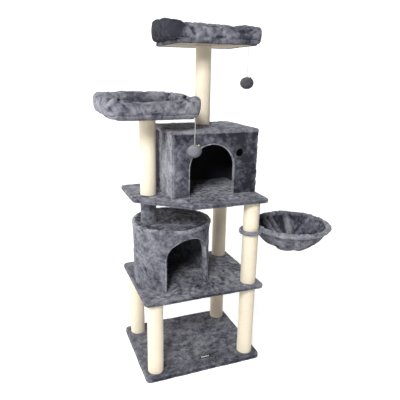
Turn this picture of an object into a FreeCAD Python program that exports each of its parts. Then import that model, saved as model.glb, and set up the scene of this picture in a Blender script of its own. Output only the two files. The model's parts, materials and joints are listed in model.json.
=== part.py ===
import FreeCAD, Part
import math
import os

from FreeCAD import Vector

# A tall cat tree: three plush-covered boards on sisal posts, a round condo, a box condo, two padded
# perches, a swivelling basket and two hanging pompom toys. Millimetres, +Z up, -Y is the front.
# The origin is the centre of the base's underside, on the floor.

os.makedirs("parts", exist_ok=True)

# ---- driving dimensions -------------------------------------------------------------------------
PLATE_W = 600.0             # width of all three boards, plush included
PLATE_D = 470.0             # depth of all three boards
PLATE_CORNER = 22.0         # corner radius seen from above
SKIN = 3.0                  # plush over the top and the edges of a board
FOLD = 2.0                  # plush folded under a board
FOLD_WIDTH = 28.0           # how far it is folded under
EDGE_ROUND = 2.5            # soft rounding of the plush along a board's top edge

BASE_TOP = 27.0
MIDDLE_BOTTOM = 401.0
MIDDLE_TOP = 421.0
UPPER_BOTTOM = 838.0
UPPER_TOP = 858.0
UPPER_CUT_X = -72.0         # where the upper board's cut corner meets the front edge
UPPER_CUT_Y = -35.0         # where it meets the left edge

POST_X = 240.0              # corner posts, from the centre
POST_Y = 177.0
POST_R = 37.5               # outside of the sisal wrap
CORE_R = 35.0               # cardboard tube under the wrap
CORE_WALL = 5.0
PLUG_H = 25.0               # wooden plug in each end of a tube
BOLT_R = 4.0                # M8 fasteners
BOLT_HOLE_R = 4.5
BOLT_DEPTH = 22.0           # how far a bolt reaches into a plug
HEX_FLATS = 13.0
HEX_H = 6.0
FLAT_HEAD_R = 8.5           # countersunk head hidden under the plush
FLAT_HEAD_H = 4.0
ACCESS_R = 12.0             # spanner access under the base
ACCESS_DEPTH = 7.0

ROUND_X = -100.0            # round condo
ROUND_Y = 8.0
ROUND_R = 187.0             # outside of its plush
ROUND_TOP = 728.0           # top of its rim
ROUND_ROOF = 716.0          # sunken roof
ROUND_ROOF_BOARD = 12.0
WALL = 6.0                  # pressed board wall
LINING = 4.0                # plush on each side of it
ROUND_DOOR_AZ = -75.0       # degrees, from +X
ROUND_DOOR_LEFT = 114.0     # half widths of the door on a plane square to its direction
ROUND_DOOR_FOOT = 118.0
ROUND_DOOR_SHOULDER = 82.0
ROUND_DOOR_CROWN = -16.0
ROUND_DOOR_SPRING = 586.0
ROUND_DOOR_SPRING_RIGHT = 592.0
ROUND_DOOR_TOP = 683.0
RIM_R = 9.0                 # gathered ring round the roof
RIM_RING_R = 186.0

LEFT_POST_X = -213.0        # short post under the upper board and the left perch's post above it
LEFT_POST_Y = 14.0

BOX_X0, BOX_X1 = -135.0, 298.0      # box condo, plush included
BOX_Y0, BOX_Y1 = -104.0, 232.0
BOX_TOP = 1166.0
BOX_SKIN = 4.0
PANEL = 9.0
BOX_ROOF_BOARD = 12.0
BOX_EAVE = 2.0              # roof plush stands this far proud of the walls
BOX_DOOR_X = 61.5
BOX_DOOR_R = 110.0          # semicircular arch on straight jambs
BOX_DOOR_SPRING = 990.0
PEEP_X, PEEP_Z, PEEP_R = 202.0, 1056.0, 20.0
HEM = 5.0                   # padded hem round each opening
HEM_PROUD = 3.0

TOP_POST_X, TOP_POST_Y = 99.0, 120.0

LEFT_PERCH = dict(x=-213.0, y=10.0, z=1221.0, board_w=344.0, board_d=340.0,
                  bolster_x=-223.0, bolster_w=424.0, bolster_d=372.0, front_top=1302.0, back_top=1328.0)
TOP_PERCH = dict(x=105.0, y=120.0, z=1536.0, board_w=404.0, board_d=336.0,
                 bolster_x=105.0, bolster_w=456.0, bolster_d=360.0, front_top=1616.0, back_top=1650.0)
PERCH_BOARD = 12.0
PERCH_CORNER = 34.0
BOLSTER_CORNER = 70.0
BOLSTER_THICK = 78.0        # width of the stuffed roll seen from above
BOLSTER_ROUND = 26.0
HOLLOW_CORNER = 28.0        # corner radius of the hollow inside the roll
CUSHION_H = 34.0
CUSHION_GAP = 1.0
CUSHION_ROUND = 12.0
PERCH_FOLD = 16.0

BASKET_AZ = 3.0             # direction of the basket from its post, degrees from +X
BASKET_Z = 690.0
BASKET_RING_R = 180.0
BASKET_WIRE_R = 4.0
BASKET_RIM_R = 12.0         # gathered rim round the wire
BASKET_DEPTH = 126.0
BASKET_CLOTH = 6.0
LOOP_R = 48.0               # wire loop round the post, 1 mm clear of it inside its sleeve
SLEEVE_R = 9.5

LEFT_TOY = dict(x=-47.0, y=-155.0, drop=107.0)
RIGHT_TOY = dict(x=256.0, y=-36.0, drop=136.0)
TAB_T = 1.5                 # fabric tab that the string hangs from
TAB_L, TAB_W = 14.0, 12.0
KNOT_R = 2.2
STRING_R = 1.25
END_KNOT_R = 1.8
GAP = 0.3                   # clearance at each swivelling knot and between soft pieces
BALL_W, BALL_H = 64.0, 56.0
BELL_R = 4.5
BELL_OFFSET = (17.0, -5.0, 25.5)

LABEL_X, LABEL_Y, LABEL_W, LABEL_D, LABEL_T = 23.0, -167.0, 70.0, 24.0, 1.0


# ---- shape helpers ------------------------------------------------------------------------------
def block(x0, x1, y0, y1, z0, z1):
    return Part.makeBox(x1 - x0, y1 - y0, z1 - z0, Vector(x0, y0, z0))


def cylinder(x, y, r, z0, z1):
    return Part.makeCylinder(r, z1 - z0, Vector(x, y, z0))


def tube(x, y, r_out, r_in, z0, z1):
    return cylinder(x, y, r_out, z0, z1).cut(cylinder(x, y, r_in, z0, z1))


def rounded_plate(cx, cy, w, d, r, z0, z1):
    """A flat plate with rounded vertical corners."""
    plate = block(cx - w / 2, cx + w / 2, cy - d / 2, cy + d / 2, z0, z1)
    upright = [e for e in plate.Edges if abs(e.Vertexes[0].Z - e.Vertexes[-1].Z) > (z1 - z0) / 2]
    return plate.makeFillet(r, upright)


def soften(shape, radius, z, tolerance=0.01):
    """Round every edge that lies at height z."""
    ring = [e for e in shape.Edges
            if abs(e.BoundBox.ZMin - z) < tolerance and abs(e.BoundBox.ZMax - z) < tolerance]
    return shape.makeFillet(radius, ring)


def hexagon(x, y, flats, z0, z1):
    r = flats / math.sqrt(3.0)
    corners = [Vector(x + r * math.cos(math.radians(60 * k)), y + r * math.sin(math.radians(60 * k)), z0)
               for k in range(7)]
    return Part.Face(Part.makePolygon(corners)).extrude(Vector(0, 0, z1 - z0))


def torus(x, y, z, ring_r, tube_r):
    return Part.makeTorus(ring_r, tube_r, Vector(x, y, z))


def ellipsoid(x, y, z, rx, rz):
    """An ellipsoid of revolution about its vertical axis."""
    stretch = FreeCAD.Matrix()
    stretch.scale(rx, rx, rz)
    shape = Part.makeSphere(1.0).transformGeometry(stretch)
    shape.translate(Vector(x, y, z))
    return shape


def save(node, *solids):
    """Write one node, a single solid or a group of separate ones."""
    pieces = [s for shape in solids for s in shape.Solids]
    for piece in pieces:
        if not piece.isValid() or piece.Volume <= 0:
            raise ValueError("bad solid in " + node)
    shape = pieces[0] if len(pieces) == 1 else Part.makeCompound(pieces)
    shape.exportStep("parts/" + node + ".step")
    print("%-28s %2d solids %10.1f cm3" % (node, len(pieces), sum(p.Volume for p in pieces) / 1000))


# ---- posts --------------------------------------------------------------------------------------
# name, x, y, foot, head, covering
POSTS = [
    ("lower_post_front_left", -POST_X, -POST_Y, BASE_TOP, MIDDLE_BOTTOM, "sisal"),
    ("lower_post_front_right", POST_X, -POST_Y, BASE_TOP, MIDDLE_BOTTOM, "sisal"),
    ("lower_post_back_left", -POST_X, POST_Y, BASE_TOP, MIDDLE_BOTTOM, "sisal"),
    ("lower_post_back_right", POST_X, POST_Y, BASE_TOP, MIDDLE_BOTTOM, "sisal"),
    ("upper_post_front_right", POST_X, -POST_Y, MIDDLE_TOP, UPPER_BOTTOM, "sisal"),
    ("upper_post_back_right", POST_X, POST_Y, MIDDLE_TOP, UPPER_BOTTOM, "sisal"),
    ("short_post", LEFT_POST_X, LEFT_POST_Y, ROUND_ROOF, UPPER_BOTTOM, "plush"),
    ("left_perch_post", LEFT_POST_X, LEFT_POST_Y, UPPER_TOP, LEFT_PERCH["z"], "sisal"),
    ("top_perch_post", TOP_POST_X, TOP_POST_Y, BOX_TOP, TOP_PERCH["z"], "sisal"),
]


def make_posts():
    """The four identical lower cores share one node; every other core has its own."""
    plugs = []
    lower_cores = []
    for name, x, y, foot, head, covering in POSTS:
        core = tube(x, y, CORE_R, CORE_R - CORE_WALL, foot, head)
        if name.startswith("lower"):
            lower_cores.append(core)
        else:
            save(name + "_core", core)
        save(name + "_" + covering, tube(x, y, POST_R, CORE_R, foot, head))
        for z0 in (foot, head - PLUG_H):
            plugs.append(tube(x, y, CORE_R - CORE_WALL, BOLT_R, z0, z0 + PLUG_H))
    save("lower_post_cores", *lower_cores)
    save("post_end_plugs", *plugs)


# ---- fasteners ----------------------------------------------------------------------------------
def hex_bolt(x, y, seat, tip):
    """A bolt whose hexagonal head lies below its seat."""
    return hexagon(x, y, HEX_FLATS, seat - HEX_H, seat).fuse(cylinder(x, y, BOLT_R, seat, tip))


def flat_bolt(x, y, top, tip):
    """A flat-headed bolt that points down, its head flush with a board's top."""
    head = cylinder(x, y, FLAT_HEAD_R, top - FLAT_HEAD_H, top)
    return head.fuse(cylinder(x, y, BOLT_R, tip, top - FLAT_HEAD_H))


def stud(x, y, z0, z1):
    return cylinder(x, y, BOLT_R, z0, z1)


def make_fasteners():
    solids = []
    for sx in (-1, 1):
        for sy in (-1, 1):
            x, y = sx * POST_X, sy * POST_Y
            solids.append(hex_bolt(x, y, FOLD + ACCESS_DEPTH, BASE_TOP + BOLT_DEPTH))
            if sx > 0:
                solids.append(stud(x, y, MIDDLE_BOTTOM - BOLT_DEPTH, MIDDLE_TOP + BOLT_DEPTH))
                solids.append(flat_bolt(x, y, UPPER_TOP - SKIN, UPPER_BOTTOM - BOLT_DEPTH))
            else:
                solids.append(flat_bolt(x, y, MIDDLE_TOP - SKIN, MIDDLE_BOTTOM - BOLT_DEPTH))
    solids.append(stud(LEFT_POST_X, LEFT_POST_Y, UPPER_BOTTOM - BOLT_DEPTH, UPPER_TOP + BOLT_DEPTH))
    roof_seat = ROUND_ROOF - SKIN - ROUND_ROOF_BOARD
    solids.append(hex_bolt(LEFT_POST_X, LEFT_POST_Y, roof_seat, ROUND_ROOF + BOLT_DEPTH))
    box_seat = BOX_TOP - BOX_SKIN - BOX_ROOF_BOARD
    solids.append(hex_bolt(TOP_POST_X, TOP_POST_Y, box_seat, BOX_TOP + BOLT_DEPTH))
    for perch, x, y in ((LEFT_PERCH, LEFT_POST_X, LEFT_POST_Y), (TOP_PERCH, TOP_POST_X, TOP_POST_Y)):
        top = perch["z"] + FOLD + PERCH_BOARD
        solids.append(flat_bolt(x, y, top, perch["z"] - BOLT_DEPTH))
    save("post_bolts", *solids)


# ---- boards and their plush ---------------------------------------------------------------------
def covered_board(name, outer, board, fold_opening, through_holes, head_holes, access_holes=()):
    """A board and the plush wrapped over its top and edges and folded under it."""
    skin = outer.cut(board).cut(fold_opening)
    for x, y in access_holes:
        board = board.cut(cylinder(x, y, ACCESS_R, outer.BoundBox.ZMin - 1, FOLD + ACCESS_DEPTH))
    for x, y in through_holes:
        drill = cylinder(x, y, BOLT_HOLE_R, outer.BoundBox.ZMin - 1, outer.BoundBox.ZMax + 1)
        board = board.cut(drill)
        skin = skin.cut(drill)
    for x, y in head_holes:
        top = board.BoundBox.ZMax
        board = board.cut(cylinder(x, y, BOLT_HOLE_R, outer.BoundBox.ZMin - 1, top))
        board = board.cut(cylinder(x, y, FLAT_HEAD_R + 0.5, top - FLAT_HEAD_H, top))
    save(name + "_board", board)
    save(name + "_plush", skin)


def make_base():
    outer = soften(rounded_plate(0, 0, PLATE_W, PLATE_D, PLATE_CORNER, 0, BASE_TOP), EDGE_ROUND, BASE_TOP)
    inner = (PLATE_W - 2 * SKIN, PLATE_D - 2 * SKIN, PLATE_CORNER - SKIN)
    board = rounded_plate(0, 0, *inner, FOLD, BASE_TOP - SKIN)
    liner = rounded_plate(0, 0, PLATE_W - 2 * FOLD_WIDTH, PLATE_D - 2 * FOLD_WIDTH, PLATE_CORNER, 0, FOLD)
    posts = [(sx * POST_X, sy * POST_Y) for sx in (-1, 1) for sy in (-1, 1)]
    covered_board("base", outer, board, liner, posts, [], posts)
    for x, y in posts:
        liner = liner.cut(cylinder(x, y, ACCESS_R, -1, FOLD + 1))
    save("base_liner", liner)
    label = rounded_plate(LABEL_X, LABEL_Y, LABEL_W, LABEL_D, 2.0, BASE_TOP, BASE_TOP + LABEL_T)
    save("base_label", label)


def make_middle():
    outer = rounded_plate(0, 0, PLATE_W, PLATE_D, PLATE_CORNER, MIDDLE_BOTTOM, MIDDLE_TOP)
    outer = soften(outer, EDGE_ROUND, MIDDLE_TOP)
    inner = (PLATE_W - 2 * SKIN, PLATE_D - 2 * SKIN, PLATE_CORNER - SKIN)
    board = rounded_plate(0, 0, *inner, MIDDLE_BOTTOM + FOLD, MIDDLE_TOP - SKIN)
    opening = rounded_plate(0, 0, PLATE_W - 2 * FOLD_WIDTH, PLATE_D - 2 * FOLD_WIDTH, PLATE_CORNER,
                            MIDDLE_BOTTOM, MIDDLE_BOTTOM + FOLD)
    through = [(POST_X, -POST_Y), (POST_X, POST_Y)]
    heads = [(-POST_X, -POST_Y), (-POST_X, POST_Y)]
    covered_board("middle", outer, board, opening, through, heads)


def cut_corner(inset, z0, z1):
    """The wedge missing from the upper board's front left corner, moved in by an inset."""
    x0, y0 = -PLATE_W / 2, -PLATE_D / 2
    run = Vector(UPPER_CUT_X - x0, y0 - UPPER_CUT_Y, 0)
    normal = Vector(-run.y, run.x, 0)
    normal.normalize()
    shift = normal * inset
    start = Vector(x0, UPPER_CUT_Y, z0) + shift - run
    end = Vector(UPPER_CUT_X, y0, z0) + shift + run
    far = Vector(x0 - 400, y0 - 400, z0)
    wedge = Part.Face(Part.makePolygon([start, end, far, start]))
    return wedge.extrude(Vector(0, 0, z1 - z0))


def cut_plate(inset, corner, z0, z1):
    """The upper board's outline, moved in by an inset."""
    plate = block(inset - PLATE_W / 2, PLATE_W / 2 - inset, inset - PLATE_D / 2, PLATE_D / 2 - inset, z0, z1)
    plate = plate.cut(cut_corner(inset, z0, z1))
    upright = [e for e in plate.Edges if e.BoundBox.ZMax - e.BoundBox.ZMin > (z1 - z0) / 2]
    return plate.makeFillet(corner, upright)


def make_upper():
    outer = soften(cut_plate(0, PLATE_CORNER, UPPER_BOTTOM, UPPER_TOP), EDGE_ROUND, UPPER_TOP)
    board = cut_plate(SKIN, PLATE_CORNER - SKIN, UPPER_BOTTOM + FOLD, UPPER_TOP - SKIN)
    opening = cut_plate(FOLD_WIDTH, PLATE_CORNER, UPPER_BOTTOM, UPPER_BOTTOM + FOLD)
    heads = [(POST_X, -POST_Y), (POST_X, POST_Y)]
    covered_board("upper", outer, board, opening, [(LEFT_POST_X, LEFT_POST_Y)], heads)


# ---- round condo --------------------------------------------------------------------------------
def round_door(grow):
    """The doorway, an arch leaning slightly left, cut straight through the front of the wall."""
    left = -ROUND_DOOR_LEFT - grow
    foot = ROUND_DOOR_FOOT + grow
    shoulder = ROUND_DOOR_SHOULDER + grow
    spring_l, spring_r = ROUND_DOOR_SPRING, ROUND_DOOR_SPRING_RIGHT
    crown, top = ROUND_DOOR_CROWN, ROUND_DOOR_TOP + grow

    def at(u, z):
        return Vector(0, u, z)

    def quarter(u0, z0, u1, z1, middle):
        """A quarter of an ellipse from (u0, z0) to (u1, z1), bulging through its middle point."""
        return Part.Arc(at(u0, z0), at(*middle), at(u1, z1)).toShape()

    k = math.sqrt(0.5)
    left_mid = (crown - (crown - left) * k, spring_l + (top - spring_l) * k)
    right_mid = (crown + (shoulder - crown) * k, spring_r + (top - spring_r) * k)
    edges = [
        Part.makeLine(at(left, MIDDLE_TOP), at(left, spring_l)),
        quarter(left, spring_l, crown, top, left_mid),
        quarter(crown, top, shoulder, spring_r, right_mid),
        Part.makeLine(at(shoulder, spring_r), at(foot, MIDDLE_TOP)),
        Part.makeLine(at(foot, MIDDLE_TOP), at(left, MIDDLE_TOP)),
    ]
    door = Part.Face(Part.Wire(edges)).extrude(Vector(ROUND_R + 30, 0, 0))
    door.rotate(Vector(0, 0, 0), Vector(0, 0, 1), ROUND_DOOR_AZ)
    door.translate(Vector(ROUND_X, ROUND_Y, 0))
    return door


def make_round_condo():
    inside_r = ROUND_R - 2 * LINING - WALL
    wall_out = ROUND_R - LINING
    wall_in = wall_out - WALL
    wall_top = ROUND_TOP - RIM_R
    opening = round_door(HEM)
    hem_slot = round_door(0)

    wall = tube(ROUND_X, ROUND_Y, wall_out, wall_in, MIDDLE_TOP, wall_top)
    save("round_condo_wall", wall.cut(opening))

    outer_skin = tube(ROUND_X, ROUND_Y, ROUND_R, wall_out, MIDDLE_TOP, wall_top)
    save("round_condo_plush", outer_skin.cut(opening))

    roof_under = ROUND_ROOF - SKIN - ROUND_ROOF_BOARD
    inner_skin = tube(ROUND_X, ROUND_Y, wall_in, inside_r, MIDDLE_TOP, roof_under)
    save("round_condo_lining", inner_skin.cut(opening))

    band = tube(ROUND_X, ROUND_Y, ROUND_R + HEM_PROUD, inside_r - HEM_PROUD, MIDDLE_TOP, ROUND_TOP)
    save("round_condo_door_hem", band.common(opening).cut(hem_slot))

    drill = cylinder(LEFT_POST_X, LEFT_POST_Y, BOLT_HOLE_R, roof_under - 1, ROUND_ROOF + 1)
    roof_board = cylinder(ROUND_X, ROUND_Y, wall_in, roof_under, ROUND_ROOF - SKIN)
    save("round_condo_roof_board", roof_board.cut(drill))
    roof_plush = cylinder(ROUND_X, ROUND_Y, wall_in, ROUND_ROOF - SKIN, ROUND_ROOF)
    save("round_condo_roof_plush", roof_plush.cut(drill))

    rim = torus(ROUND_X, ROUND_Y, ROUND_TOP - RIM_R, RIM_RING_R, RIM_R)
    below = cylinder(ROUND_X, ROUND_Y, ROUND_R, wall_top - 2 * RIM_R, wall_top)
    clear_post = cylinder(LEFT_POST_X, LEFT_POST_Y, POST_R + 1, wall_top - RIM_R, ROUND_TOP + 1)
    save("round_condo_rim", rim.cut(below).cut(clear_post))


# ---- box condo ----------------------------------------------------------------------------------
def arch(grow, y0, y1):
    """The box condo's doorway: straight jambs and a semicircular head."""
    r = BOX_DOOR_R + grow
    jambs = block(BOX_DOOR_X - r, BOX_DOOR_X + r, y0, y1, UPPER_TOP, BOX_DOOR_SPRING)
    head = Part.makeCylinder(r, y1 - y0, Vector(BOX_DOOR_X, y0, BOX_DOOR_SPRING), Vector(0, 1, 0))
    return jambs.fuse(head).removeSplitter()


def peep_hole(grow, y0, y1):
    return Part.makeCylinder(PEEP_R + grow, y1 - y0, Vector(PEEP_X, y0, PEEP_Z), Vector(0, 1, 0))


def make_box_condo():
    x0, x1 = BOX_X0 + BOX_SKIN, BOX_X1 - BOX_SKIN
    y0, y1 = BOX_Y0 + BOX_SKIN, BOX_Y1 - BOX_SKIN
    wall_top = BOX_TOP - BOX_SKIN - BOX_ROOF_BOARD
    cut_y0, cut_y1 = BOX_Y0 - 20, BOX_Y0 + 40
    door, peep = arch(HEM, cut_y0, cut_y1), peep_hole(HEM, cut_y0, cut_y1)

    save("box_condo_front_panel", block(x0, x1, y0, y0 + PANEL, UPPER_TOP, wall_top).cut(door).cut(peep))
    save("box_condo_back_panel", block(x0, x1, y1 - PANEL, y1, UPPER_TOP, wall_top))
    save("box_condo_left_panel", block(x0, x0 + PANEL, y0 + PANEL, y1 - PANEL, UPPER_TOP, wall_top))
    save("box_condo_right_panel", block(x1 - PANEL, x1, y0 + PANEL, y1 - PANEL, UPPER_TOP, wall_top))

    drill = cylinder(TOP_POST_X, TOP_POST_Y, BOLT_HOLE_R, wall_top - 1, BOX_TOP + 1)
    save("box_condo_roof_board", block(x0, x1, y0, y1, wall_top, wall_top + BOX_ROOF_BOARD).cut(drill))

    cx, cy = (BOX_X0 + BOX_X1) / 2, (BOX_Y0 + BOX_Y1) / 2
    w, d = BOX_X1 - BOX_X0, BOX_Y1 - BOX_Y0
    skin_top = BOX_TOP - BOX_SKIN
    walls = rounded_plate(cx, cy, w, d, 8.0, UPPER_TOP, skin_top)
    walls = walls.cut(block(x0, x1, y0, y1, UPPER_TOP, skin_top))
    save("box_condo_plush", walls.cut(door).cut(peep))
    roof = rounded_plate(cx, cy, w + 2 * BOX_EAVE, d + 2 * BOX_EAVE, 12.0, skin_top, BOX_TOP)
    save("box_condo_roof_plush", roof.cut(drill))

    hem_y0, hem_y1 = BOX_Y0 - HEM_PROUD, y0 + PANEL
    save("box_condo_door_hem", arch(HEM, hem_y0, hem_y1).cut(arch(0, cut_y0, cut_y1)))
    save("box_condo_peep_hem", peep_hole(HEM, hem_y0, hem_y1).cut(peep_hole(0, cut_y0, cut_y1)))


# ---- perches ------------------------------------------------------------------------------------
def make_perch(name, perch, post_x, post_y):
    x, y, z = perch["x"], perch["y"], perch["z"]
    board_z = z + FOLD
    board_top = board_z + PERCH_BOARD
    skin_top = board_top + SKIN
    outer = rounded_plate(x, y, perch["board_w"], perch["board_d"], PERCH_CORNER, z, skin_top)
    board = rounded_plate(x, y, perch["board_w"] - 2 * SKIN, perch["board_d"] - 2 * SKIN,
                          PERCH_CORNER - SKIN, board_z, board_top)
    opening = rounded_plate(x, y, perch["board_w"] - 2 * PERCH_FOLD, perch["board_d"] - 2 * PERCH_FOLD,
                            PERCH_CORNER - SKIN, z, board_z)
    pad = tube(post_x, post_y, POST_R, BOLT_R, z, board_z)
    covered_board(name, outer, board.fuse(pad).removeSplitter(), opening, [], [(post_x, post_y)])

    w, d = perch["bolster_w"], perch["bolster_d"]
    front_y, back_y = y - d / 2, y + d / 2
    slope_top = perch["back_top"]
    roll_x = perch["bolster_x"]
    ring = rounded_plate(roll_x, y, w, d, BOLSTER_CORNER, skin_top, slope_top)
    hollow_w, hollow_d = w - 2 * BOLSTER_THICK, d - 2 * BOLSTER_THICK
    ring = ring.cut(rounded_plate(roll_x, y, hollow_w, hollow_d, HOLLOW_CORNER, skin_top, slope_top))
    above = Part.Face(Part.makePolygon([
        Vector(roll_x - w, front_y, perch["front_top"]),
        Vector(roll_x - w, back_y, slope_top),
        Vector(roll_x - w, front_y, slope_top),
        Vector(roll_x - w, front_y, perch["front_top"]),
    ])).extrude(Vector(2 * w, 0, 0))
    ring = ring.cut(above)
    crown = [e for e in ring.Edges if e.CenterOfMass.z > skin_top + 50]
    ring = ring.makeFillet(BOLSTER_ROUND, [e for e in crown if not is_upright(e)])
    save(name + "_bolster", ring)

    cushion = rounded_plate(roll_x, y, hollow_w - 2 * CUSHION_GAP, hollow_d - 2 * CUSHION_GAP,
                            HOLLOW_CORNER - CUSHION_GAP, skin_top, skin_top + CUSHION_H)
    save(name + "_cushion", soften(cushion, CUSHION_ROUND, skin_top + CUSHION_H))


def is_upright(edge):
    box = edge.BoundBox
    return box.ZMax - box.ZMin > 5 and box.XMax - box.XMin < 0.01 and box.YMax - box.YMin < 0.01


# ---- basket -------------------------------------------------------------------------------------
def bowl_profile(radius, depth):
    """A solid half-bowl hanging below z = 0: a round floor and a tighter curve up to its edge."""
    floor_r = radius * 0.55
    floor_z = -depth * 0.84
    floor = Part.Arc(Vector(0, 0, -depth), Vector(floor_r * 0.52, 0, -depth * 0.965),
                     Vector(floor_r, 0, floor_z)).toShape()
    side = Part.Arc(Vector(floor_r, 0, floor_z), Vector(radius * 0.87, 0, -depth * 0.50),
                    Vector(radius, 0, 0)).toShape()
    top = Part.makeLine(Vector(radius, 0, 0), Vector(0, 0, 0))
    axis = Part.makeLine(Vector(0, 0, 0), Vector(0, 0, -depth))
    face = Part.Face(Part.Wire([floor, side, top, axis]))
    return face.revolve(Vector(0, 0, 0), Vector(0, 0, 1), 360)


def make_basket():
    reach = LOOP_R + BASKET_RING_R + 2 * BASKET_WIRE_R
    az = math.radians(BASKET_AZ)
    along = Vector(math.cos(az), math.sin(az), 0)
    post = Vector(POST_X, -POST_Y, BASKET_Z)
    centre = post + along * reach

    loop = torus(post.x, post.y, post.z, LOOP_R, BASKET_WIRE_R)
    ring = torus(centre.x, centre.y, centre.z, BASKET_RING_R, BASKET_WIRE_R)
    weld = Part.makeCylinder(BASKET_WIRE_R * 0.8, 2 * BASKET_WIRE_R, post + along * LOOP_R, along)
    frame = loop.fuse(ring).fuse(weld)
    save("basket_frame", frame)

    sleeve = torus(post.x, post.y, post.z, LOOP_R, SLEEVE_R)
    save("basket_loop_sleeve", sleeve.cut(frame))

    rim = torus(centre.x, centre.y, centre.z, BASKET_RING_R, BASKET_RIM_R)
    bowl_r = BASKET_RING_R + BASKET_RIM_R * 0.6
    bowl = bowl_profile(bowl_r, BASKET_DEPTH).cut(bowl_profile(bowl_r - BASKET_CLOTH, BASKET_DEPTH - BASKET_CLOTH))
    bowl.translate(centre)
    clear_sleeve = cylinder(post.x, post.y, LOOP_R + SLEEVE_R + GAP, centre.z - 40, centre.z + 40)
    save("basket_cloth", bowl.fuse(rim).cut(ring).cut(clear_sleeve))


# ---- hanging toys -------------------------------------------------------------------------------
def make_toys():
    tabs = []
    for name, toy, perch in (("left_toy", LEFT_TOY, LEFT_PERCH), ("right_toy", RIGHT_TOY, TOP_PERCH)):
        x, y, under = toy["x"], toy["y"], perch["z"]
        tabs.append(block(x - TAB_L / 2, x + TAB_L / 2, y - TAB_W / 2, y + TAB_W / 2, under - TAB_T, under))
        knot_z = under - TAB_T - GAP - KNOT_R
        end_z = under - toy["drop"]
        knot = Part.makeSphere(KNOT_R, Vector(x, y, knot_z))
        end_knot = Part.makeSphere(END_KNOT_R, Vector(x, y, end_z))
        save(name + "_string", cylinder(x, y, STRING_R, end_z, knot_z).fuse(knot).fuse(end_knot))

        ball_z = end_z - END_KNOT_R - GAP - BALL_H / 2
        ball = ellipsoid(x, y, ball_z, BALL_W / 2, BALL_H / 2)
        dx, dy, dz = BELL_OFFSET
        bell = Part.makeSphere(BELL_R, Vector(x + dx, y + dy, ball_z + dz))
        save(name + "_ball", ball)
        save(name + "_bell", bell.cut(ball))
    save("toy_anchor_tabs", *tabs)


make_posts()
make_fasteners()
make_base()
make_middle()
make_upper()
make_round_condo()
make_box_condo()
make_perch("left_perch", LEFT_PERCH, LEFT_POST_X, LEFT_POST_Y)
make_perch("top_perch", TOP_PERCH, TOP_POST_X, TOP_POST_Y)
make_basket()
make_toys()
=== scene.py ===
import json
import math

import bmesh
import bpy
import numpy as np
from mathutils import Matrix, Vector
from mathutils.geometry import delaunay_2d_cdt


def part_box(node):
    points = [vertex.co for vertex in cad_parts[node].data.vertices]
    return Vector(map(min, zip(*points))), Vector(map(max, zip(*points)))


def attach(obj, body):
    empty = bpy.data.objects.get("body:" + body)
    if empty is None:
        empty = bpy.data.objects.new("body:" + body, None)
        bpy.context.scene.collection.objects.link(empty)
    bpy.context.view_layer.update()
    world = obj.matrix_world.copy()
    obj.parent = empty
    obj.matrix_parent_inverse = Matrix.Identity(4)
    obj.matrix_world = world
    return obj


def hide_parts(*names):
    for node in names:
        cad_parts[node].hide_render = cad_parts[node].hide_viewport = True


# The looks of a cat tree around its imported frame. Metres, +Z up, -Y is the front.

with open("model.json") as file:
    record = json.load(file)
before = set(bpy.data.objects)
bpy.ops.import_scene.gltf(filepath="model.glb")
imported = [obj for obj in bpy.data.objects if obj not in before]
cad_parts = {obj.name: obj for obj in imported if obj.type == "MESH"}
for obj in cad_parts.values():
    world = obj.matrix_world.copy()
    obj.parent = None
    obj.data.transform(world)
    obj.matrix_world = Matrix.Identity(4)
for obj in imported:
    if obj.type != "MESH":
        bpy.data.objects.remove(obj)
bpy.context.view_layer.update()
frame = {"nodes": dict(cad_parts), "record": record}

# ---- sizes that the frame's boxes don't give --------------------------------------------------------
GRAIN = 0.0065              # spacing of mesh points on plush
EDGE = 0.006                # soft rounding of a covered board's upper edge
PLATE_CORNER = 0.022
FOLD_WIDTH = 0.028          # plush folded under a board
SKIN = 0.002                # plush's thickness on boards and posts
WALL_SKIN = 0.003           # and on the condos' walls
CROWN = {"base": 0.0010, "middle": 0.0030, "upper": 0.0030}
CROWN_RUN = 0.06            # how far in from its edge a plush top goes on rising
DEEPEST_FOLD = 0.0006       # below this a board's fold would let the board show

UPPER_CUT_X = -0.072        # where the upper board's cut corner meets its front edge
UPPER_CUT_Y = -0.035        # where it meets its left edge

ROPE = 0.0048               # sisal rope, one turn to the next
ROPE_ROWS = 6
POST_SEGMENTS = 44

ROUND_DOOR_AZ = math.radians(-75.0)
ROUND_DOOR_LEFT, ROUND_DOOR_FOOT = -0.114, 0.118
ROUND_DOOR_SHOULDER, ROUND_DOOR_CROWN = 0.082, -0.016
ROUND_DOOR_SPRING, ROUND_DOOR_SPRING_RIGHT, ROUND_DOOR_TOP = 0.586, 0.592, 0.683
HEM = 0.005                 # width of the padded hem round a doorway

BOX_CORNER = 0.012
BOX_DOOR_X, BOX_DOOR_R, BOX_DOOR_SPRING = 0.0615, 0.110, 0.990
PEEP_X, PEEP_Z, PEEP_R = 0.202, 1.056, 0.020

PERCH_CORNER, PERCH_FOLD = 0.034, 0.016
BOLSTER_CORNER, BOLSTER_THICK = 0.070, 0.078
ROLL_SLACK = 0.0035         # how much smaller a roll's cloth is before it is puffed
FRONT_DROP = {"left_perch": 0.030, "top_perch": 0.034}     # how much lower a roll is in front
SAG = {"left_perch": 0.016, "top_perch": 0.020}            # how far its front hangs below the board

BASKET_RING_R, BASKET_RIM_R, BASKET_DEPTH = 0.180, 0.012, 0.126
BOWL_POWER = 2.6            # how square the bowl's section is
BOWL_SPREAD = 0.80          # how the rows of its points spread from the middle to the rim
PLEATS, PLEATS_DEEPEST = 12, math.radians(110)
LOOP_R, SLEEVE_R = 0.048, 0.0095
STRING_D, BELL_R = 0.0025, 0.0045

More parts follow.
